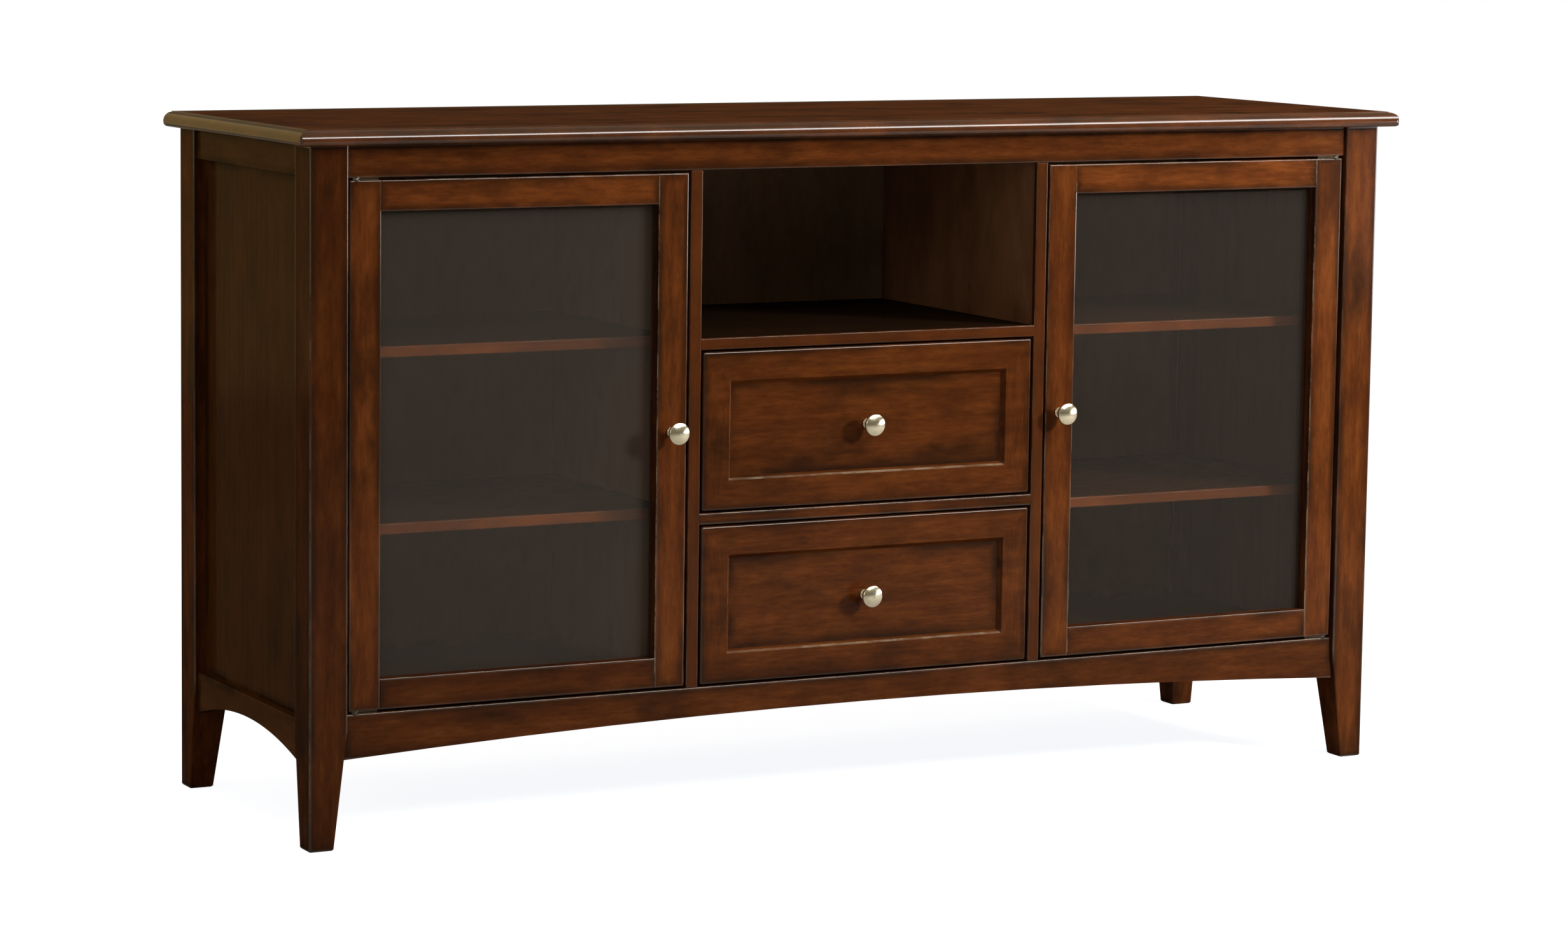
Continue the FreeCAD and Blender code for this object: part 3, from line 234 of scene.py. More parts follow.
class Recipe:
    """A node tree that is filled node by node."""

    def __init__(self, tree: bpy.types.NodeTree) -> None:
        """Start from an empty tree.

        Args:
            tree: The node tree of a material or a world.
        """
        self.tree = tree
        tree.nodes.clear()

    def node(self, kind: str, settings: Mapping[str, Any] | None = None,
             sockets: Mapping[str | int, Any] | None = None, output: str | int = 0) -> Shade:
        """Add one node.

        Args:
            kind: The node's type name.
            settings: Its properties, set before the sockets; stops fill a colour ramp.
            sockets: Its inputs by name or place, each a plain value or a Shade to link.
            output: Which output to hand back.

        Returns:
            The chosen output, ready for more maths.
        """
        made = self.tree.nodes.new(kind)
        for name, value in (settings or {}).items():
            if name == "stops":
                self.fill_ramp(made.color_ramp, value)
            else:
                setattr(made, name, value)
        for name, value in (sockets or {}).items():
            if isinstance(value, Shade):
                self.tree.links.new(value.socket, made.inputs[name])
            else:
                made.inputs[name].default_value = value
        return Shade(self, made.outputs[output] if made.outputs else None)

    @staticmethod
    def fill_ramp(ramp: bpy.types.ColorRamp, stops: Iterable[tuple[float, Colour]]) -> None:
        """Set a ramp's stops.

        Args:
            ramp: The ramp, with its two first stops.
            stops: Pairs of place and colour, in order.
        """
        stops = list(stops)
        for place, _ in stops[2:]:
            ramp.elements.new(place)
        for element, (place, colour) in zip(ramp.elements, stops):
            element.position = place
            element.color = (*colour, 1.0)

    def placed(self, centre: Triple = ORIGIN, turn: Triple = UNTURNED) -> Shade:
        """Return the piece's own coordinates, measured from a centre and turned."""
        own = self.node("ShaderNodeTexCoord", output="Object")
        return self.node("ShaderNodeMapping", {"vector_type": "TEXTURE"},
                         {"Vector": own, "Location": centre, "Rotation": turn})

    def parts(self, vector: Shade) -> tuple[Shade, Shade, Shade]:
        """Take a vector apart.

        Args:
            vector: The vector.

        Returns:
            Its three coordinates.
        """
        split = self.node("ShaderNodeSeparateXYZ", sockets={0: vector})
        outputs = split.socket.node.outputs
        return Shade(self, outputs[0]), Shade(self, outputs[1]), Shade(self, outputs[2])

    def stretched(self, vector: Shade, scale: Triple, shift: Triple) -> Shade:
        """Return a vector scaled on each axis and then shifted."""
        return self.node("ShaderNodeVectorMath", {"operation": "MULTIPLY_ADD"},
                         {0: vector, 1: scale, 2: shift})

    def noise(self, vector: Shade, detail: float = 2.0, roughness: float = 0.5) -> Shade:
        """Return smooth noise over a vector, one feature to each unit of it."""
        return self.node("ShaderNodeTexNoise", sockets={
            "Vector": vector, "Scale": 1.0, "Detail": detail, "Roughness": roughness})

    def mixed(self, kind: Blend, factor: Shade, first: Any, second: Any) -> Shade:
        """Mix two colours or two places.

        Args:
            kind: What is mixed.
            factor: 0 for the first and 1 for the second.
            first: A Shade or a plain value.
            second: A Shade or a plain value.

        Returns:
            The mixture.
        """
        data_type, place_a, place_b, result = kind.value
        if kind is Blend.COLOUR:
            first, second = (
                value if isinstance(value, Shade) else (*value, 1.0) for value in (first, second))
        return self.node("ShaderNodeMix", {"data_type": data_type},
                         {0: factor, place_a: first, place_b: second}, result)

    def bumped(self, height: Shade, distance: float) -> Shade:
        """Return a normal that follows a height, with the height's unit in metres."""
        return self.node("ShaderNodeBump", sockets={"Height": height, "Distance": distance})


def new_material(name: str) -> tuple[bpy.types.Material, Recipe]:
    """Make an empty material.

    Args:
        name: Its name.

    Returns:
        The material and the recipe that fills it.
    """
    material = bpy.data.materials.new(name)
    material.use_nodes = True
    return material, Recipe(material.node_tree)


def surfaced(recipe: Recipe, sockets: Mapping[str, Any]) -> None:
    """Give a recipe one surface shader with these sockets."""
    shader = recipe.node("ShaderNodeBsdfPrincipled", sockets=sockets)
    recipe.node("ShaderNodeOutputMaterial", sockets={"Surface": shader})


def toned(colour: Colour, lightness: float) -> Colour:
    """Return a colour made darker, or lighter where lightness is over 1."""
    return tuple(lightness * part for part in colour)


def seed_of(name: str) -> Triple:
    """Return a far-off place of its own for each name, so that no two boards share a figure."""
    code = zlib.crc32(name.encode()).to_bytes(4, "little")
    return tuple(SEED_STEP * byte for byte in code[:3])


def middle(node: str) -> Vector:
    """Return the middle of a node's box."""
    low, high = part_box(node)
    return (low + high) / 2


@dataclass(frozen=True)
class Board:
    """One wooden node: how its grain lies and how it took the stain.

    Attributes:
        node: The node's name.
        grain: The way its fibres run.
        tone: How light it is painted beside its neighbours, partly its stain and partly painted
        light and shade for how much light falls on it.
        hidden: Length at each end, and width at each side, that a joint or groove covers.
        mitred: True for a frame whose four members meet at mitres.
        lip: Depth of the solid strip along the front edge of a veneered board.
        lip_tone: How light that strip is painted; raised inside the case as painted light.
        wear_and_highlight: How much of its edges is abraded and painted pale as a highlight.
        wear_and_highlight_from: Height above its lowest edge from which they are abraded and
            painted pale, so that the painted highlight lies on its upper edges.
        nosing: How far the polish of its edges reaches in.
        inner_edge: Distance from the outer edge of a frame to its inner one.
    """

    node: str
    grain: Grain
    tone: float = 1.0
    hidden: Span = (0.0, 0.0)
    mitred: bool = False
    lip: float = 0.0
    lip_tone: float = 1.0
    wear_and_highlight: float = 0.5
    wear_and_highlight_from: float = 0.004
    nosing: float = 0.003
    inner_edge: float = 0.0

    def front(self) -> float:
        """Return the Y of the node's front."""
        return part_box(self.node)[0].y

    def lowest(self) -> float:
        """Return the Z of the node's lowest edge."""
        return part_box(self.node)[0].z

    def half_sizes(self, hidden: Span = (0.0, 0.0)) -> Triple:
        """Measure the board from its middle.

        Args:
            hidden: What is left out at each end and at each side.

        Returns:
            Half its length along the grain, and half its other two sizes.
        """
        low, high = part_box(self.node)
        x, y, z = (high - low) / 2
        along, across, through = {
            Grain.ACROSS: (x, y, z), Grain.BACK: (y, x, z), Grain.UP: (z, y, x)}[self.grain]
        ends, sides = hidden
        return along - ends, across - sides, through - sides


@dataclass(frozen=True)
class WoodFinish:
    """A wood and what was put on it.

    Attributes:
        name: What the finish is called.
        stops: Colours from the darkest streak to the lightest.
        glaze_and_shade: Dark colour of the clouds on a face and of the band by edges and joints,
            which is partly dark finish gathered there and partly painted shade.
        glaze_and_shade_reach: How far from an edge that band of finish and painted shade fades out.
        glaze_and_shade_most: How much of the dark colour, as finish and painted shade, there is at
            the edge itself.
        clouded: How much of it there is in the darkest cloud out on a face.
        rubbed_and_lit: Colour of the wood where an edge is abraded through, also laid on edges as a
            painted highlight.
        rub_and_highlight_reach: How far the abrasion and its painted highlight reach in from an
            edge.
        ring_spacing: Distance between growth rings.
        contrast: How strongly mottle, rings, fibres and pores change the colour.
        roughness: Roughness of the lacquer or bare wood.
        shine: Specular level of the wood under the coat.
        coat: Weight of the lacquer coat, on faces and on edges.
        relief: Height of the fibres in metres.
    """

    name: str
    stops: tuple[tuple[float, Colour], ...]
    glaze_and_shade: Colour
    glaze_and_shade_reach: float
    glaze_and_shade_most: float
    clouded: float
    rubbed_and_lit: Colour
    rub_and_highlight_reach: float
    ring_spacing: float
    contrast: tuple[float, float, float, float]
    roughness: float
    shine: float
    coat: Span
    relief: float

    def material(self, board: Board, lip: "WoodFinish | None" = None) -> bpy.types.Material:
        """Make the finish for one board.

        Args:
            board: The board that it goes on.
            lip: The finish whose colours the strip along its front edge has.

        Returns:
            A material in the board's own coordinates.
        """
        material, recipe = new_material(f"{self.name}_{board.node}")
        seed = seed_of(board.node)
        place = recipe.placed(tuple(middle(board.node)), board.grain.value)
        _, depth, height = recipe.parts(recipe.placed((0.0, board.front(), board.lowest())))
        edge, mitre = self.edge_distance(recipe, place, board.half_sizes(board.hidden))
        arris, _ = self.edge_distance(recipe, place, board.half_sizes())
        figured = self.turned_members(recipe, place, mitre) if board.mitred else place
        tone, fibre, pores = self.figure(recipe, place, figured, seed)
        colour = self.stained(recipe, tone, board.tone)
        if lip:
            strip = depth.rise(board.lip + LIP_JOINT, board.lip)
            lip_colour = lip.stained(recipe, tone, board.lip_tone)
            colour = recipe.mixed(Blend.COLOUR, strip, colour, lip_colour)
        cloud = recipe.noise(
            recipe.stretched(place, CLOUD_SCALE, seed), detail=4.0, roughness=0.6)
        # Painted shade: within glaze_and_shade_reach of every edge and joint that shows, the dark
        # colour is laid on, partly finish gathered there and partly standing in for the shade that
        # falls there.
        edge_glaze_and_shade = edge.rise(self.glaze_and_shade_reach, 0.0) * cloud.rise(*GLAZE_AND_SHADE_BETWEEN) * self.glaze_and_shade_most
        glazed_and_shaded = edge_glaze_and_shade.most(cloud.rise(*DARK_CLOUD_BETWEEN) * self.clouded)
        colour = recipe.mixed(Blend.COLOUR, glazed_and_shaded, colour, self.glaze_and_shade)
        # Painted highlight: pale colour along the arrises above wear_and_highlight_from, partly
        # abraded finish and partly standing in for the light that those edges catch.
        rubbed_and_lit = self.rubbing_and_highlight(recipe, board, place, (edge, arris, height))
        colour = recipe.mixed(Blend.COLOUR, rubbed_and_lit, colour, self.rubbed_and_lit)
        relief = fibre - PORE_DEPTH * pores
        if board.mitred:
            relief = (relief - MEAN_RELIEF) * abs(mitre).rise(0.0, MITRE_FADE)
        by_cloud, by_fibre, by_rubbing_and_highlight = ROUGHENED_BY
        roughness = (self.roughness + by_cloud * (cloud - 0.5) + by_fibre * (fibre - 0.5)
                     + by_rubbing_and_highlight * rubbed_and_lit)
        on_faces, on_edges = self.coat
        at_edge = arris.rise(board.nosing, board.nosing * LACQUER_FULL)
        surfaced(recipe, {
            "Base Color": colour, "Roughness": roughness, "Specular IOR Level": self.shine,
            "Coat Weight": on_faces + (on_edges - on_faces) * at_edge,
            "Coat Roughness": LACQUER_ROUGHNESS, "Coat IOR": LACQUER_IOR,
            "Normal": recipe.bumped(relief, self.relief)})
        return material

    def stained(self, recipe: Recipe, tone: Shade, lightness: float) -> Shade:
        """Return the wood's colour for a tone, on a board of a given lightness."""
        stops = [(stop, toned(colour, lightness)) for stop, colour in self.stops]
        return recipe.node("ShaderNodeValToRGB", {"stops": stops}, {0: tone})

    def rubbing_and_highlight(self, recipe: Recipe, board: Board, place: Shade,
                measures: tuple[Shade, Shade, Shade]) -> Shade:
        """Find where the finish is abraded through, and where edges get a painted highlight.

        Args:
            recipe: Where the nodes go.
            board: The board.
            place: Coordinates from its middle, along its grain.
            measures: Distance from its nearest edge that shows, from the nearest edge of its box,
                and height above its lowest edge.

        Returns:
            0 where the finish is whole, and up to 1 where the wood under it shows and where a
            pale highlight is painted on an edge.
        """
        edge, arris, height = measures
        patches = recipe.noise(recipe.stretched(place, WEAR_AND_HIGHLIGHT_SCALE, seed_of(board.node)),
                               detail=4.0, roughness=0.7)
        worn_and_lit_patches = patches.rise(*WORN_AND_LIT_BETWEEN)
        reached = height.rise(board.wear_and_highlight_from - RUB_AND_HIGHLIGHT_FADE, board.wear_and_highlight_from + RUB_AND_HIGHLIGHT_FADE)
        near = arris.rise(self.rub_and_highlight_reach, self.rub_and_highlight_reach * RUB_AND_HIGHLIGHT_FULL)
        rubbed_and_lit = near * worn_and_lit_patches * (reached * board.wear_and_highlight)
        # Painted highlight: a pale line along the frame's inner edge, full on the lower member and
        # weaker on the left one, where light catches those edges, with some abrasion in patches.
        if board.inner_edge:
            line = abs(edge - board.inner_edge).rise(*LINE_BETWEEN)
            lit_members = self.lower_left(recipe, place, board)
            rubbed_and_lit = rubbed_and_lit.most(line * (worn_and_lit_patches * HIGHLIGHT_LINE_PATCHES + LINE_LEAST) * lit_members)
        return rubbed_and_lit

    @staticmethod
    def edge_distance(recipe: Recipe, place: Shade, halves: Triple) -> tuple[Shade, Shade]:
        """Measure from the edges of the board's box.

        Args:
            recipe: Where the nodes go.
            place: Coordinates from the board's middle, along its grain.
            halves: Half sizes in the same axes.

        Returns:
            How far a point of a face is from that face's nearest edge, and how much nearer it is to
            a long edge than to an end, which is 0 along a mitre.
        """
        along, across, through = (
            half - abs(part) for half, part in zip(halves, recipe.parts(place)))
        nearest_edge = along.least(across).most(along.most(across).least(through))
        return nearest_edge, along - through

    @staticmethod
    def lower_left(recipe: Recipe, place: Shade, board: Board) -> Shade:
        """Pick out the members of a frame whose inner edges are painted with a highlight.

        Args:
            recipe: Where the nodes go.
            place: Coordinates from the frame's middle, along its grain.
            board: The frame.

        Returns:
            1 by its lower member, less by its left one, and 0 by the others, which lie in shade.
        """
        length, _, width = board.half_sizes()
        reach = board.inner_edge + LINE_MARGIN
        along, _, up = recipe.parts(place)
        lower = up.rise(reach - width, reach - RUB_AND_HIGHLIGHT_FADE - width)
        left = along.rise(reach - length, reach - RUB_AND_HIGHLIGHT_FADE - length)
        return lower.most(left * LINE_ON_LEFT)

    @staticmethod
    def turned_members(recipe: Recipe, place: Shade, mitre: Shade) -> Shade:
        """Turn the figure by a right angle on the end members of a mitred frame.

        Args:
            recipe: Where the nodes go.
            place: Coordinates from the frame's middle, along its grain.
            mitre: How much nearer a point is to a long edge than to an end.

        Returns:
            Coordinates along the grain of each member.
        """
        along, across, through = recipe.parts(place)
        turned = recipe.node("ShaderNodeCombineXYZ", sockets={0: through, 1: across, 2: along})
        return recipe.mixed(Blend.PLACE, mitre.rise(MITRE_JOINT, -MITRE_JOINT), place, turned)

    def figure(self, recipe: Recipe, place: Shade, members: Shade,
               seed: Triple) -> tuple[Shade, Shade, Shade]:
        """Grow the wood's figure.

        Args:
            recipe: Where the nodes go.
            place: Coordinates along the grain of the whole.
            members: Coordinates along the grain of each member.
            seed: The board's own place in the pattern.

        Returns:
            The tone from 0 to 1, the fibres and the pores.
        """
        mottle = recipe.noise(
            recipe.stretched(place, MOTTLE_SCALE, seed), detail=6.0, roughness=0.7)
        rings = recipe.node("ShaderNodeTexWave", {
            "wave_type": "RINGS", "rings_direction": "X", "wave_profile": "SIN"}, {
            "Vector": recipe.stretched(place, RING_SCALE, (seed[0], *RING_PITH)),
            "Scale": RING_UNIT / self.ring_spacing, "Distortion": RING_WANDER,
            "Detail": RING_DETAIL, "Detail Scale": RING_DETAIL_SCALE}, 1)
        fibre = recipe.noise(
            recipe.stretched(members, FIBRE_SCALE, seed), detail=4.0, roughness=0.7)
        dashes = recipe.noise(recipe.stretched(members, PORE_SCALE, seed), detail=1.0)
        pores = dashes.rise(*PORES_BETWEEN)
        by_mottle, by_rings, by_fibre, by_pores = self.contrast
        tone = (0.5 + by_mottle * (mottle - 0.5) + by_rings * (rings - 0.5)
                + by_fibre * (fibre - 0.5))
        return tone - by_pores * pores, fibre, pores


CHERRY = WoodFinish(
    name="stained_cherry",
    stops=((0.1, (0.026, 0.0088, 0.0032)), (0.4, (0.068, 0.0185, 0.005)),
           (0.6, (0.105, 0.0295, 0.0072)), (0.9, (0.175, 0.055, 0.0125))),
    glaze_and_shade=(0.014, 0.006, 0.0027), glaze_and_shade_reach=0.015, glaze_and_shade_most=0.85, clouded=0.75,
    rubbed_and_lit=(0.3, 0.23, 0.165), rub_and_highlight_reach=0.0013,
    ring_spacing=0.014, contrast=(0.85, 0.07, 0.6, 0.08),
    roughness=0.4, shine=0.0, coat=(0.12, 0.9), relief=0.00003)

QUIET_CHERRY = replace(
    CHERRY, name="quiet_cherry", clouded=0.35, contrast=(0.55, 0.07, 0.3, 0.06),
    stops=((0.1, (0.028, 0.0125, 0.005)), (0.4, (0.062, 0.0225, 0.0075)),
           (0.6, (0.09, 0.033, 0.0105)), (0.9, (0.14, 0.054, 0.016))))

VENEERED_BOARD = WoodFinish(
    name="stained_board",
    stops=((0.2, (0.045, 0.0235, 0.0125)), (0.5, (0.085, 0.042, 0.022)),
           (0.8, (0.12, 0.062, 0.031))),
    glaze_and_shade=(0.016, 0.008, 0.0045), glaze_and_shade_reach=0.02, glaze_and_shade_most=0.5, clouded=0.3,
    rubbed_and_lit=(0.28, 0.22, 0.16), rub_and_highlight_reach=0.001,
    ring_spacing=0.05, contrast=(0.5, 0.04, 0.14, 0.05),
    roughness=0.5, shine=0.0, coat=(0.1, 0.3), relief=0.00004)

# Painted light: the back is painted much lighter than the other inside boards, standing in for
# light that the shaded niche doesn't get.
PAINTED_LIGHT_BACK = replace(
    VENEERED_BOARD, name="stained_back",
    stops=((0.2, (0.12, 0.08, 0.052)), (0.5, (0.22, 0.146, 0.098)), (0.8, (0.31, 0.205, 0.137))))

PALE_WOOD = WoodFinish(
    name="pale_wood",
    stops=((0.15, (0.3, 0.17, 0.075)), (0.5, (0.47, 0.31, 0.16)), (0.85, (0.6, 0.44, 0.26))),
    glaze_and_shade=(0.25, 0.14, 0.06), glaze_and_shade_reach=0.004, glaze_and_shade_most=0.4, clouded=0.2,
    rubbed_and_lit=(0.62, 0.48, 0.3), rub_and_highlight_reach=0.001,
    ring_spacing=0.009, contrast=(0.5, 0.14, 0.5, 0.15),
    roughness=0.55, shine=0.3, coat=(0.0, 0.05), relief=0.00008)


@dataclass(frozen=True)
class MetalFinish:
    """A bare or plated metal with fine turned or brushed lines.

    Attributes:
        name: What the finish is called.
        colour: Colour of the clean metal.
        roughness: Its roughness between the lines.
        line_spacing: Distance between the lines.
        line_depth: Depth of the lines.
        tarnish: How light the metal is where it is dull.
    """

    name: str
    colour: Colour
    roughness: float
    line_spacing: float
    line_depth: float
    tarnish: float = 0.72

    def material(self, piece: str, centre: Triple = ORIGIN) -> bpy.types.Material:
        """Make the metal for one piece.

        Args:
            piece: The piece that it goes on.
            centre: A point on the front-to-back axis that its lines run round.

        Returns:
            The material.
        """
        material, recipe = new_material(f"{self.name}_{piece}")
        place = recipe.placed(centre)
        x, y, z = recipe.parts(place)
        radius = (x * x + z * z) ** 0.5
        turned = recipe.node("ShaderNodeCombineXYZ", sockets={
            0: radius * (1 / self.line_spacing), 1: y * (1 / self.line_spacing), 2: 0.0})
        lines = recipe.noise(turned, detail=1.0)
        tarnish = recipe.noise(
            recipe.stretched(place, TARNISH_SCALE, seed_of(piece)), detail=3.0, roughness=0.6)
        dull = tarnish.rise(*TARNISH_BETWEEN) * TARNISH_MOST
        colour = recipe.mixed(Blend.COLOUR, dull, self.colour, toned(self.colour, self.tarnish))
        by_lines, by_tarnish = METAL_ROUGHENED_BY
        roughness = self.roughness + by_lines * (lines - 0.5) + by_tarnish * (tarnish - 0.5)
        surfaced(recipe, {
            "Base Color": colour, "Metallic": 1.0, "Roughness": roughness,
            "Normal": recipe.bumped(lines, self.line_depth)})
        return material


NICKEL = MetalFinish(
    "satin_nickel", (0.95, 0.88, 0.69), roughness=0.2, line_spacing=0.0003, line_depth=0.00006)
PLATED_STEEL = MetalFinish(
    "plated_steel", (0.62, 0.62, 0.62), roughness=0.34, line_spacing=0.0008, line_depth=0.00002)
BRONZED_STEEL = MetalFinish(
    "bronzed_steel", (0.1, 0.075, 0.05), roughness=0.42, line_spacing=0.0008, line_depth=0.00002)


@dataclass(frozen=True)
class GlassFinish:
    """Sheet glass with a faint smoky film, which takes the light of the room as an even veil.

    Attributes:
        film_share: How much of what lies behind the film hides.
        name: What the finish is called.
        film: Colour of the film.
        wiped: How light the film is where it was wiped.
        roughness: Roughness of the film.
        smear: How much rougher a smear is.
        mirror: Specular level of the film.
    """

    film_share: float
    name: str = "clear_glass"
    film: Colour = (0.118, 0.101, 0.092)
    wiped: float = 0.9
    roughness: float = 0.05
    smear: float = 0.05
    mirror: float = 0.1

    def material(self, node: str) -> bpy.types.Material:
        """Make the glass for one pane.

        Args:
            node: The pane's node.

        Returns:
            The material.
        """
        material, recipe = new_material(f"{self.name}_{node}")
        smears = recipe.noise(
            recipe.stretched(recipe.placed(), SMEAR_SCALE, seed_of(node)), detail=3.0)
        colour = recipe.mixed(Blend.COLOUR, smears, self.film, toned(self.film, self.wiped))
        surfaced(recipe, {
            "Base Color": colour, "Roughness": self.roughness + self.smear * smears,
            "Alpha": self.film_share, "Specular IOR Level": self.mirror})
        return material


@dataclass(frozen=True)
class PlasticFinish:
    """Moulded plastic with a fine eroded grain.

    Attributes:
        name: What the finish is called.
        colour: Its colour.
        lit: How light it is on the tops of the grain.
        grain: Distance between the grain's pits.
        depth: Depth of the pits.
        roughness: Its roughness in the pits.
        tops_roughness: How much rougher the tops of the grain are.
    """

    name: str = "brown_plastic"
    colour: Colour = (0.05, 0.028, 0.016)
    lit: float = 1.5
    grain: float = 0.0006
    depth: float = 0.00003
    roughness: float = 0.4
    tops_roughness: float = 0.15

    def material(self, node: str) -> bpy.types.Material:
        """Make the plastic for one node.

        Args:
            node: The moulding's node.

        Returns:
            The material.
        """
        material, recipe = new_material(f"{self.name}_{node}")
        pitted = recipe.noise(
            recipe.stretched(recipe.placed(), (1 / self.grain,) * 3, seed_of(node)))
        colour = recipe.mixed(Blend.COLOUR, pitted, self.colour, toned(self.colour, self.lit))
        surfaced(recipe, {
            "Base Color": colour, "Roughness": self.roughness + self.tops_roughness * pitted,
            "Normal": recipe.bumped(pitted, self.depth)})
        return material


@dataclass(frozen=True)
class Fastener:
    """The head of a screw or pin, with a cross cut in it where it has one.

    Attributes:
        radius: Radius of the head where it sits.
        height: How far the head stands proud.
        crown: Radius of its flat crown as a share of the whole.
        cross: Width of the cross as a share of the crown's radius; 0 for a plain pin.
        sides: Number of sides of the round.
    """

    radius: float
    height: float
    crown: float
    cross: float = 0.0
    sides: int = 20

    def head(self) -> bpy.types.Mesh:
        """Model one head at the origin, facing +Z.

        Returns:
            Its mesh.
        """
        shape = bmesh.new()
        bmesh.ops.create_cone(shape, cap_ends=True, segments=self.sides, radius1=self.radius,
                              radius2=self.radius * self.crown, depth=self.height,
                              matrix=Matrix.Translation((0.0, 0.0, self.height / 2)))
        if self.cross:
            self.cut_cross(shape)
        mesh = bpy.data.meshes.new("fastener")
        shape.to_mesh(mesh)
        shape.free()
        return mesh

    def cut_cross(self, shape: bmesh.types.BMesh) -> None:
        """Sink a cross into the crown of a head.

        Args:
            shape: The head, facing +Z.
        """
        half = self.radius * self.crown * self.cross / 2
        for way in (Vector((1, 0, 0)), Vector((0, 1, 0))):
            for sign in (-1, 1):
                bmesh.ops.bisect_plane(shape, geom=[*shape.verts, *shape.edges, *shape.faces],
                                       plane_co=sign * half * way, plane_no=way)
        crown = [face for face in shape.faces if face.normal.z > CROWN_LEVEL]
        arms = [face for face in crown
                if min(abs(face.calc_center_median().x), abs(face.calc_center_median().y)) < half]
        sunk = bmesh.ops.extrude_face_region(shape, geom=arms)["geom"]
        floor = [part for part in sunk if isinstance(part, bmesh.types.BMVert)]
        bmesh.ops.translate(shape, verts=floor, vec=(0.0, 0.0, -CROSS_DEPTH * self.height))
        bmesh.ops.delete(shape, geom=arms, context="FACES")

    def row(self, name: str, seats: Iterable[Vector], facing: Vector) -> bpy.types.Object:
        """Set heads at several seats, all facing one way.

        Args:
            name: The piece's name.
            seats: Where the heads sit.
            facing: The way they face.

        Returns:
            One piece with all the heads.
        """
        turn = facing.to_track_quat("Z", "Y").to_matrix().to_4x4()
        shape = bmesh.new()
        head = self.head()
        for seat in seats:
            copy = head.copy()
            copy.transform(Matrix.Translation(seat) @ turn)
            shape.from_mesh(copy)
            bpy.data.meshes.remove(copy)
        bpy.data.meshes.remove(head)
        return finished(name, shape)


WOOD_SCREW = Fastener(radius=0.0036, height=0.0016, crown=0.62, cross=0.42)
SMALL_SCREW = Fastener(radius=0.0024, height=0.0011, crown=0.62, cross=0.42)
PANEL_PIN = Fastener(radius=0.0011, height=0.0003, crown=0.7, sides=12)


def finished(name: str, shape: bmesh.types.BMesh) -> bpy.types.Object:
    """Close a shape up and stand it in the scene.

    Args:
        name: The name of the piece.
        shape: The shape, which is used up.

    Returns:
        The piece's object, at the origin.
    """
    bmesh.ops.remove_doubles(shape, verts=shape.verts, dist=MERGED_WITHIN)
    bmesh.ops.recalc_face_normals(shape, faces=shape.faces)
    mesh = bpy.data.meshes.new(name)
    shape.to_mesh(mesh)
    shape.free()
    piece = bpy.data.objects.new(name, mesh)
    bpy.context.scene.collection.objects.link(piece)
    return piece


def dressed(node: bpy.types.Object, material: bpy.types.Material) -> None:
    """Put one material on every slot of a node's object and report it.

    Args:
        node: The node's object.
        material: The finish.
    """
    if not node.material_slots:
        node.data.materials.append(material)
    for slot in node.material_slots:
        slot.material = material
    LOG.info("%s dressed in %s", node.name, material.name)


def fitted(piece: bpy.types.Object, body: str, metal: MetalFinish) -> None:
    """Give a small metal fitting its finish and let it move with a body.

    Args:
        piece: The fitting.
        body: The body that carries it.
        metal: Its finish.
    """
    dressed(piece, metal.material(piece.name))
    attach(piece, body)


def evenly(start: float, end: float, count: int) -> list[float]:
    """Return the middles of count equal lengths between two ends."""
    return [start + (end - start) * (i + 0.5) / count for i in range(count)]


def knob_metal(node: str) -> bpy.types.Material:
    """Return satin nickel with its turning lines round a knob's own axis."""
    return NICKEL.material(node, tuple(middle(node)))


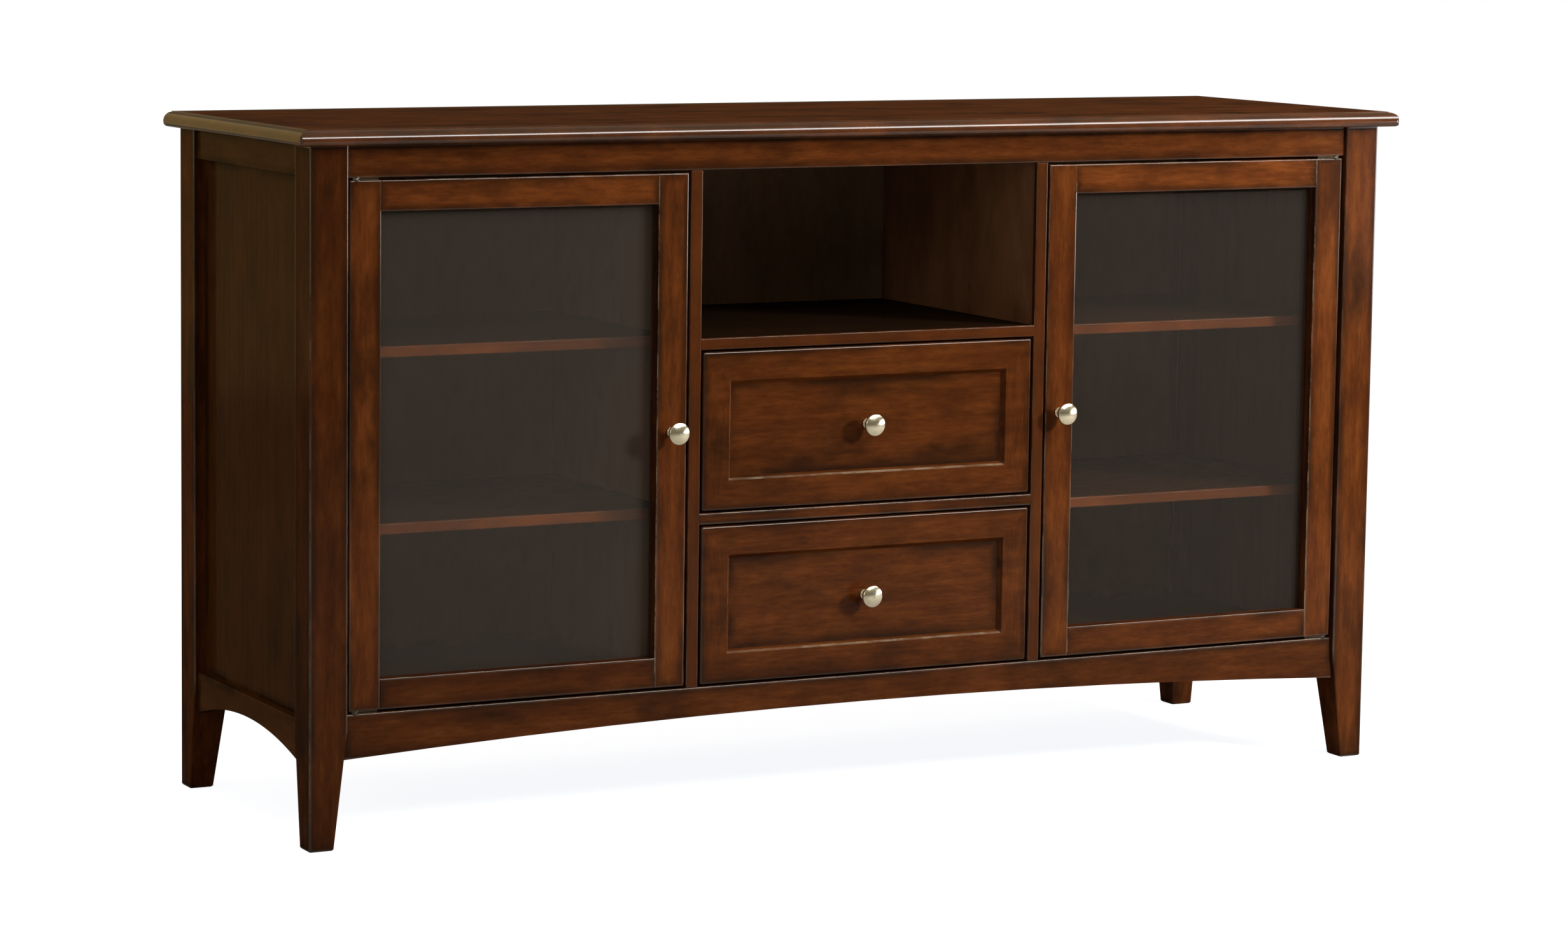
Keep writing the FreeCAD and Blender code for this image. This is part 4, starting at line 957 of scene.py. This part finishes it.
@dataclass
class Carcase:
    """The case: top, legs, rails, panels, shelves and the fittings that stay in it.

    Attributes:
        nodes: The part's nodes by name.
        tenon: Length of a rail that its joint hides.
        panel_lap: Width of a side panel that its groove hides.
        edge_strip: Depth of the solid strip along the front of a veneered board.
        catch_width: How far a catch stands out from its partition.
        catch_screw_inset: Height of a catch's screw from the catch's end.
        back_screw_levels: Heights of the screws through the back into the partitions.
        shelf_screw_places: X of the screws through the back into the niche's shelf.
    """

    nodes: Mapping[str, bpy.types.Object]
    tenon: float = 0.028
    panel_lap: float = 0.012
    edge_strip: float = 0.006
    catch_width: float = 0.012
    catch_screw_inset: float = 0.007
    back_screw_levels: tuple[float, ...] = (0.22, 0.36, 0.5, 0.64, 0.75)
    shelf_screw_places: tuple[float, ...] = (-0.12, 0.0, 0.12)

    def solid_boards(self) -> list[Board]:
        """List the boards of solid cherry.

        Returns:
            The boards that show outside.
        """
        joint, lapped = (self.tenon, 0.0), (self.panel_lap, self.panel_lap)
        # The tones are partly stain and partly painted light and shade: the front-left leg and the
        # front bottom rail are painted darker, where less light falls.
        boards = [Board("top_panel", Grain.ACROSS, tone=1.02, wear_and_highlight=0.0, nosing=0.02),
                  Board("drawer_divider_rail", Grain.ACROSS, tone=0.95, wear_and_highlight=0.8)]
        boards += [Board(f"{corner}_leg", Grain.UP, tone, wear_and_highlight=wear_and_highlight) for corner, tone, wear_and_highlight in (
            ("front_left", 0.66, 0.7), ("front_right", 1.0, 0.3),
            ("rear_left", 0.95, 0.3), ("rear_right", 0.95, 0.3))]
        boards += [Board(f"{place}_rail", Grain.ACROSS, tone, joint) for place, tone in (
            ("front_top", 1.0), ("front_bottom", 0.78), ("rear_top", 0.9), ("rear_bottom", 0.9))]
        for side in ("left", "right"):
            boards += [Board(f"{side}_side_{level}_rail", Grain.BACK, tone=0.95, hidden=joint,
                             wear_and_highlight=0.0, nosing=0.0004) for level in ("top", "bottom")]
            boards.append(Board(f"{side}_side_panel", Grain.UP, tone=0.75, hidden=lapped))
        return boards

    def veneered_boards(self) -> list[Board]:
        """List the boards inside the case.

        Returns:
            The boards, with a solid strip where a front edge shows.
        """
        # Painted light and shade: the partitions and the shelves' front strips are painted far
        # lighter than their stain, standing in for light that the shaded inside lacks, the left
        # strips more than the right ones; the niche shelf is painted dark as shade.
        boards = [Board("floor_panel", Grain.ACROSS, tone=0.4),
                  Board("niche_shelf", Grain.ACROSS, tone=0.2, lip=self.edge_strip, wear_and_highlight=0.9)]
        for side, lip_tone in (("left", 2.8), ("right", 2.0)):
            boards.append(Board(f"{side}_partition", Grain.UP, tone=2.8, lip=self.edge_strip))
            boards += [Board(f"{side}_{level}_shelf", Grain.ACROSS, tone=0.35, lip=self.edge_strip,
                             lip_tone=lip_tone) for level in ("upper", "lower")]
        return boards

    def dress(self) -> None:
        """Put the finishes on every node of the case."""
        for board in self.solid_boards():
            finish = QUIET_CHERRY if "side" in board.node else CHERRY
            dressed(self.nodes[board.node], finish.material(board))
        for board in self.veneered_boards():
            lip = CHERRY if board.lip else None
            dressed(self.nodes[board.node], VENEERED_BOARD.material(board, lip))
        dressed(self.nodes["back_panel"], PAINTED_LIGHT_BACK.material(Board("back_panel", Grain.UP)))
        for name, grain in (("floor_cleats", Grain.ACROSS), ("corner_blocks", Grain.ACROSS),
                            ("drawer_runners", Grain.BACK)):
            dressed(self.nodes[name], PALE_WOOD.material(Board(name, grain)))
        for name, metal in (("shelf_pins", PLATED_STEEL), ("hinge_pins", PLATED_STEEL),
                            ("hinge_case_leaves", BRONZED_STEEL)):
            dressed(self.nodes[name], metal.material(name))
        dressed(self.nodes["door_catches"], PlasticFinish().material("door_catches"))

    def fit(self) -> None:
        """Drive the screws that hold the back and the catches."""
        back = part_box("back_panel")[1].y
        seats = [Vector((middle(f"{side}_partition").x, back, level))
                 for side in ("left", "right") for level in self.back_screw_levels]
        shelf_level = middle("niche_shelf").z
        seats += [Vector((x, back, shelf_level)) for x in self.shelf_screw_places]
        fitted(WOOD_SCREW.row("back_screws", seats, REARWARD), "cabinet", PLATED_STEEL)
        low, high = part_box("door_catches")
        depth = middle("door_catches").y
        levels = (low.z + self.catch_screw_inset, high.z - self.catch_screw_inset)
        for side in Side:
            hand = side.name.lower()
            left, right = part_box(f"{hand}_partition")
            wall = left.x if side is Side.LEFT else right.x
            face = wall + side.value * self.catch_width
            seats = [Vector((face, depth, level)) for level in levels]
            screws = SMALL_SCREW.row(f"{hand}_catch_screws", seats, Vector((side.value, 0, 0)))
            fitted(screws, "cabinet", PLATED_STEEL)


@dataclass
class GlazedDoor:
    """One framed glass door with its knob and hinge leaves.

    Attributes:
        nodes: The part's nodes by name.
        side: The hand it is on.
        hinge_wear_and_highlight: How much of the hinge stile's edges is abraded and painted pale as
            a
        highlight.
        film: How much of what lies behind the pane's film hides, set lower on the door that gets
            more light so that its veil comes out as dark: painted shade.
        stile_tones: How light the hinge stile and the lock stile are painted, partly their stain
            and partly painted light and shade.
        rail_tones: How light the top rail and the bottom rail are painted, the top lighter and the
            bottom darker as painted light and shade besides their stain.
        tenon: Length of a rail that its joint hides.
        pin_inset: Distance of the pins from the outer edges of the glass stops.
        pins_across: Pins in each level stop.
        pins_up: Pins in each upright stop.
    """

    nodes: Mapping[str, bpy.types.Object]
    side: Side
    hinge_wear_and_highlight: float
    film: float
    stile_tones: Span
    rail_tones: Span
    tenon: float = 0.018
    pin_inset: float = 0.004
    pins_across: int = 3
    pins_up: int = 5

    def body(self) -> str:
        """Return the name of the body that swings."""
        return f"{self.side.name.lower()}_door"

    def named(self, piece: str) -> str:
        """Return the node's name for one piece of this door."""
        return f"{self.body()}_{piece}"

    def dress(self) -> None:
        """Put the finishes on the door's frame, glass and metalwork."""
        joint = (self.tenon, 0.0)
        hinge_tone, lock_tone = self.stile_tones
        top_tone, bottom_tone = self.rail_tones
        for board in (Board(self.named("hinge_stile"), Grain.UP, hinge_tone, wear_and_highlight=self.hinge_wear_and_highlight),
                      Board(self.named("lock_stile"), Grain.UP, lock_tone, wear_and_highlight=1.0),
                      Board(self.named("top_rail"), Grain.ACROSS, top_tone, joint, wear_and_highlight=0.9),
                      Board(self.named("bottom_rail"), Grain.ACROSS, bottom_tone, joint, wear_and_highlight=0.4),
                      Board(self.named("glass_stops"), Grain.UP, tone=0.8)):
            dressed(self.nodes[board.node], CHERRY.material(board))
        glass, knob = self.named("glass"), self.named("knob")
        dressed(self.nodes[glass], GlassFinish(self.film).material(glass))
        dressed(self.nodes[knob], knob_metal(knob))
        for piece, metal in (("hinge_leaves", BRONZED_STEEL), ("strike", PLATED_STEEL)):
            dressed(self.nodes[self.named(piece)], metal.material(self.named(piece)))

    def fit(self) -> None:
        """Drive the pins that hold the glass stops."""
        low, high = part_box(self.named("glass_stops"))
        left, right = low.x + self.pin_inset, high.x - self.pin_inset
        foot, head = low.z + self.pin_inset, high.z - self.pin_inset
        across = evenly(left, right, self.pins_across)
        up = evenly(foot, head, self.pins_up)
        seats = [Vector((x, high.y, z)) for x in across for z in (foot, head)]
        seats += [Vector((x, high.y, z)) for x in (left, right) for z in up]
        pins = PANEL_PIN.row(self.named("stop_pins"), seats, REARWARD)
        fitted(pins, self.body(), PLATED_STEEL)


@dataclass
class Drawer:
    """One drawer: a mitred front frame round a flat panel, on a box of pale wood.

    Attributes:
        nodes: The part's nodes by name.
        level: Which drawer it is.
        frame_tone: How light the front frame came out.
        panel_tone: How light the front panel came out.
        panel_lap: Width of the panel that the frame's groove hides.
        inner_edge: Distance from the frame's outer edge to its inner one.
        rubbed_and_lit_top: Height of the frame's upper edge that is abraded and painted pale as a
        highlight.
        wall: Thickness of the box.
        screw_places: X of the screws that hold the front.
        screw_drop: Their height over and under the middle of the box.
    """

    nodes: Mapping[str, bpy.types.Object]
    level: Level
    frame_tone: float = 0.88
    panel_tone: float = 0.86
    panel_lap: float = 0.007
    inner_edge: float = 0.0375
    rubbed_and_lit_top: float = 0.005
    wall: float = 0.012
    screw_places: tuple[float, ...] = (-0.15, 0.15)
    screw_drop: float = 0.035

    def body(self) -> str:
        """Return the name of the body that slides."""
        return f"{self.level.value}_drawer"

    def named(self, piece: str) -> str:
        """Return the node's name for one piece of this drawer."""
        return f"{self.body()}_{piece}"

    def dress(self) -> None:
        """Put the finishes on the drawer's front, box and knob."""
        low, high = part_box(self.named("front_frame"))
        frame = Board(self.named("front_frame"), Grain.ACROSS, self.frame_tone, mitred=True,
                      wear_and_highlight=0.9, wear_and_highlight_from=high.z - low.z - self.rubbed_and_lit_top,
                      inner_edge=self.inner_edge)
        panel = Board(self.named("front_panel"), Grain.ACROSS, self.panel_tone,
                      (self.panel_lap, self.panel_lap))
        for board in (frame, panel):
            dressed(self.nodes[board.node], CHERRY.material(board))
        for piece in ("walls", "bottom"):
            board = Board(self.named(piece), Grain.BACK)
            dressed(self.nodes[board.node], PALE_WOOD.material(board))
        dressed(self.nodes[self.named("knob")], knob_metal(self.named("knob")))

    def fit(self) -> None:
        """Drive the screws that hold the front to the box."""
        walls = self.named("walls")
        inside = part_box(walls)[0].y + self.wall
        levels = [middle(walls).z + drop for drop in (-self.screw_drop, self.screw_drop)]
        seats = [Vector((x, inside, level)) for x in self.screw_places for level in levels]
        screws = WOOD_SCREW.row(self.named("front_screws"), seats, REARWARD)
        fitted(screws, self.body(), PLATED_STEEL)


@dataclass(frozen=True)
class Softbox:
    """One soft studio lamp.

    Attributes:
        name: What it is called.
        place: Where it hangs.
        aim: The point it is turned to.
        width: Its width.
        height: Its height.
        watts: Its power.
        colour: Its colour.
        lights: False for a lamp that is seen in polish and lights nothing.
        shines: False for a lamp that lights the wood and isn't seen in its polish.
    """

    name: str
    place: Triple
    aim: Triple
    width: float
    height: float
    watts: float
    colour: Colour = (1.0, 1.0, 1.0)
    lights: bool = True
    shines: bool = True

    def hang(self) -> None:
        """Hang the lamp at its place and turn it to its aim."""
        data = bpy.data.lights.new(self.name, "AREA")
        data.shape = "RECTANGLE"
        data.size = self.width
        data.size_y = self.height
        data.energy = self.watts
        data.color = self.colour
        lamp = bpy.data.objects.new(self.name, data)
        lamp.location = self.place
        lamp.visible_diffuse = self.lights
        lamp.visible_glossy = self.shines
        towards = Vector(self.aim) - Vector(self.place)
        lamp.rotation_euler = towards.to_track_quat("-Z", "Y").to_euler()
        bpy.context.scene.collection.objects.link(lamp)


@dataclass
class Studio:
    """A white room: a pale floor without end, soft lamps and a sky that is brightest overhead.

    Attributes:
        floor_reach: Length and width of the floor.
        floor_colour: Its colour, by which it gives light back.
        floor_cloud: How light it is in its faint clouds.
        floor_roughness: Its roughness.
        floor_glow: What it adds to itself where it is seen.
        sky_seen: How bright the sky is where it is seen.
        sky_low: Its light near the floor.
        sky_high: Its light overhead.
        sky_rise: Heights between which the one gives way to the other.
        lamps: The lamps.
    """

    floor_reach: float = 60.0
    floor_colour: Colour = (0.4, 0.4, 0.4)
    floor_cloud: float = 0.97
    floor_roughness: float = 0.9
    floor_glow: Colour = (0.9, 0.915, 0.945)
    sky_seen: float = 1.0
    sky_low: Colour = (0.13, 0.112, 0.075)
    sky_high: Colour = (0.47, 0.4, 0.29)
    sky_rise: Span = (0.15, 1.0)
    lamps: tuple[Softbox, ...] = (
        Softbox("overhead", (1.4, -2.0, 2.5), FRONT, width=4.2, height=0.45, watts=47.0,
                colour=(1.0, 0.97, 0.92)),
        Softbox("strip", (1.4, -2.25, 2.35), FRONT, width=4.2, height=0.4, watts=60.0,
                lights=False),
        Softbox("key", (1.75, -1.95, 1.35), FRONT, width=0.34, height=0.34, watts=63.0,
                colour=(1.0, 0.95, 0.84), shines=False),
        Softbox("spark", (2.75, -1.75, 0.6), (0.0, -0.2, 0.55), width=1.4, height=0.44,
                watts=27.0, lights=False),
        Softbox("rim", (-1.3, 2.5, 1.1), (-0.76, 0.0, 0.7), width=1.6, height=1.8, watts=3.8,
                colour=(1.0, 0.66, 0.17)),
        Softbox("side", (-3.0, 0.2, 1.2), (-0.74, 0.0, 0.5), width=1.0, height=1.2, watts=7.5,
                colour=(1.0, 0.95, 0.62)),
        Softbox("fill", (-2.6, -2.2, 1.4), (0.0, -0.2, 0.7), width=0.4, height=1.4, watts=7.0,
                colour=(1.0, 0.93, 0.8)),
    )

    def build(self) -> None:
        """Lay the floor, hang the lamps and set the sky."""
        self.lay_floor()
        for lamp in self.lamps:
            lamp.hang()
        self.set_sky()
        view = bpy.context.scene.view_settings
        view.view_transform = "Standard"
        view.look = "None"

    def lay_floor(self) -> None:
        """Lay the pale floor under the feet, which looks brighter than the light it gives back."""
        shape = bmesh.new()
        bmesh.ops.create_grid(shape, x_segments=1, y_segments=1, size=self.floor_reach / 2)
        floor = finished("floor", shape)
        material, recipe = new_material("pale_floor")
        cloud = recipe.noise(recipe.stretched(recipe.placed(), FLOOR_SCALE, ORIGIN))
        colour = recipe.mixed(Blend.COLOUR, cloud, self.floor_colour,
                              toned(self.floor_colour, self.floor_cloud))
        seen = recipe.node("ShaderNodeLightPath", output="Is Camera Ray")
        glow = recipe.mixed(Blend.COLOUR, seen, (0.0,) * 3, self.floor_glow)
        surfaced(recipe, {
            "Base Color": colour, "Roughness": self.floor_roughness, "Specular IOR Level": 0.0,
            "Emission Strength": 1.0, "Emission Color": glow})
        floor.data.materials.append(material)

    def set_sky(self) -> None:
        """Set a sky that is seen white all over and gives its light from above."""
        world = bpy.data.worlds.new("white_room")
        world.use_nodes = True
        recipe = Recipe(world.node_tree)
        seen = recipe.node("ShaderNodeLightPath", output="Is Camera Ray")
        _, _, height = recipe.parts(recipe.node("ShaderNodeTexCoord", output="Generated"))
        given = recipe.mixed(Blend.COLOUR, height.rise(*self.sky_rise), self.sky_low, self.sky_high)
        colour = recipe.mixed(Blend.COLOUR, seen, given, (self.sky_seen,) * 3)
        sky = recipe.node("ShaderNodeBackground", sockets={"Color": colour, "Strength": 1.0})
        recipe.node("ShaderNodeOutputWorld", sockets={"Surface": sky})
        bpy.context.scene.world = world


@dataclass
class Viewpoint:
    """The camera, near where the photograph was taken from.

    Attributes:
        place: Where it stands.
        yaw: Its turn to the right, in degrees.
        pitch: Its tilt down, in degrees.
        roll: Its lean, in degrees.
        focal_pixels: Its focal length in pixels of the photograph.
        frame_pixels: Width of the photograph.
        sensor: Width of its sensor, in millimetres.
        shift: How far the frame is moved across the picture, in widths.
    """

    place: Triple = (-2.603, -4.860, 1.122)
    yaw: float = 25.584
    pitch: float = 6.629
    roll: float = 0.5
    focal_pixels: float = 6852.0
    frame_pixels: float = 2464.0
    sensor: float = 36.0
    shift: Span = (0.12, -0.05)

    def stand(self) -> None:
        """Set the camera up and make it the scene's own."""
        data = bpy.data.cameras.new("viewpoint")
        data.sensor_width = self.sensor
        data.lens = self.sensor * self.focal_pixels / self.frame_pixels
        data.shift_x, data.shift_y = self.shift
        camera = bpy.data.objects.new("viewpoint", data)
        turn = (Matrix.Rotation(math.radians(-self.yaw), 4, "Z")
                @ Matrix.Rotation(math.radians(90.0 - self.pitch), 4, "X")
                @ Matrix.Rotation(math.radians(self.roll), 4, "Z"))
        camera.matrix_world = Matrix.Translation(self.place) @ turn
        bpy.context.scene.collection.objects.link(camera)
        bpy.context.scene.camera = camera


def main() -> None:
    """Load the part, dress it, and set up the studio and the camera."""
    logging.basicConfig(level=logging.INFO, format="%(message)s")
    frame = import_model()
    nodes = frame["nodes"]
    # Painted light and shade: the top rails are painted lighter than the bottom rails, and the
    # right pane's film is thinner because more light falls on that side.
    left_door = GlazedDoor(nodes, Side.LEFT, hinge_wear_and_highlight=0.2, film=0.185,
                           stile_tones=(1.1, 1.1), rail_tones=(1.38, 0.7))
    right_door = GlazedDoor(nodes, Side.RIGHT, hinge_wear_and_highlight=1.0, film=0.105,
                            stile_tones=(1.2, 1.1), rail_tones=(1.28, 0.93))
    drawers = [Drawer(nodes, level) for level in Level]
    assemblies = [Carcase(nodes), left_door, right_door, *drawers]
    for assembly in assemblies:
        assembly.dress()
        assembly.fit()
    Studio().build()
    Viewpoint().stand()


if __name__ == "__main__":
    main()
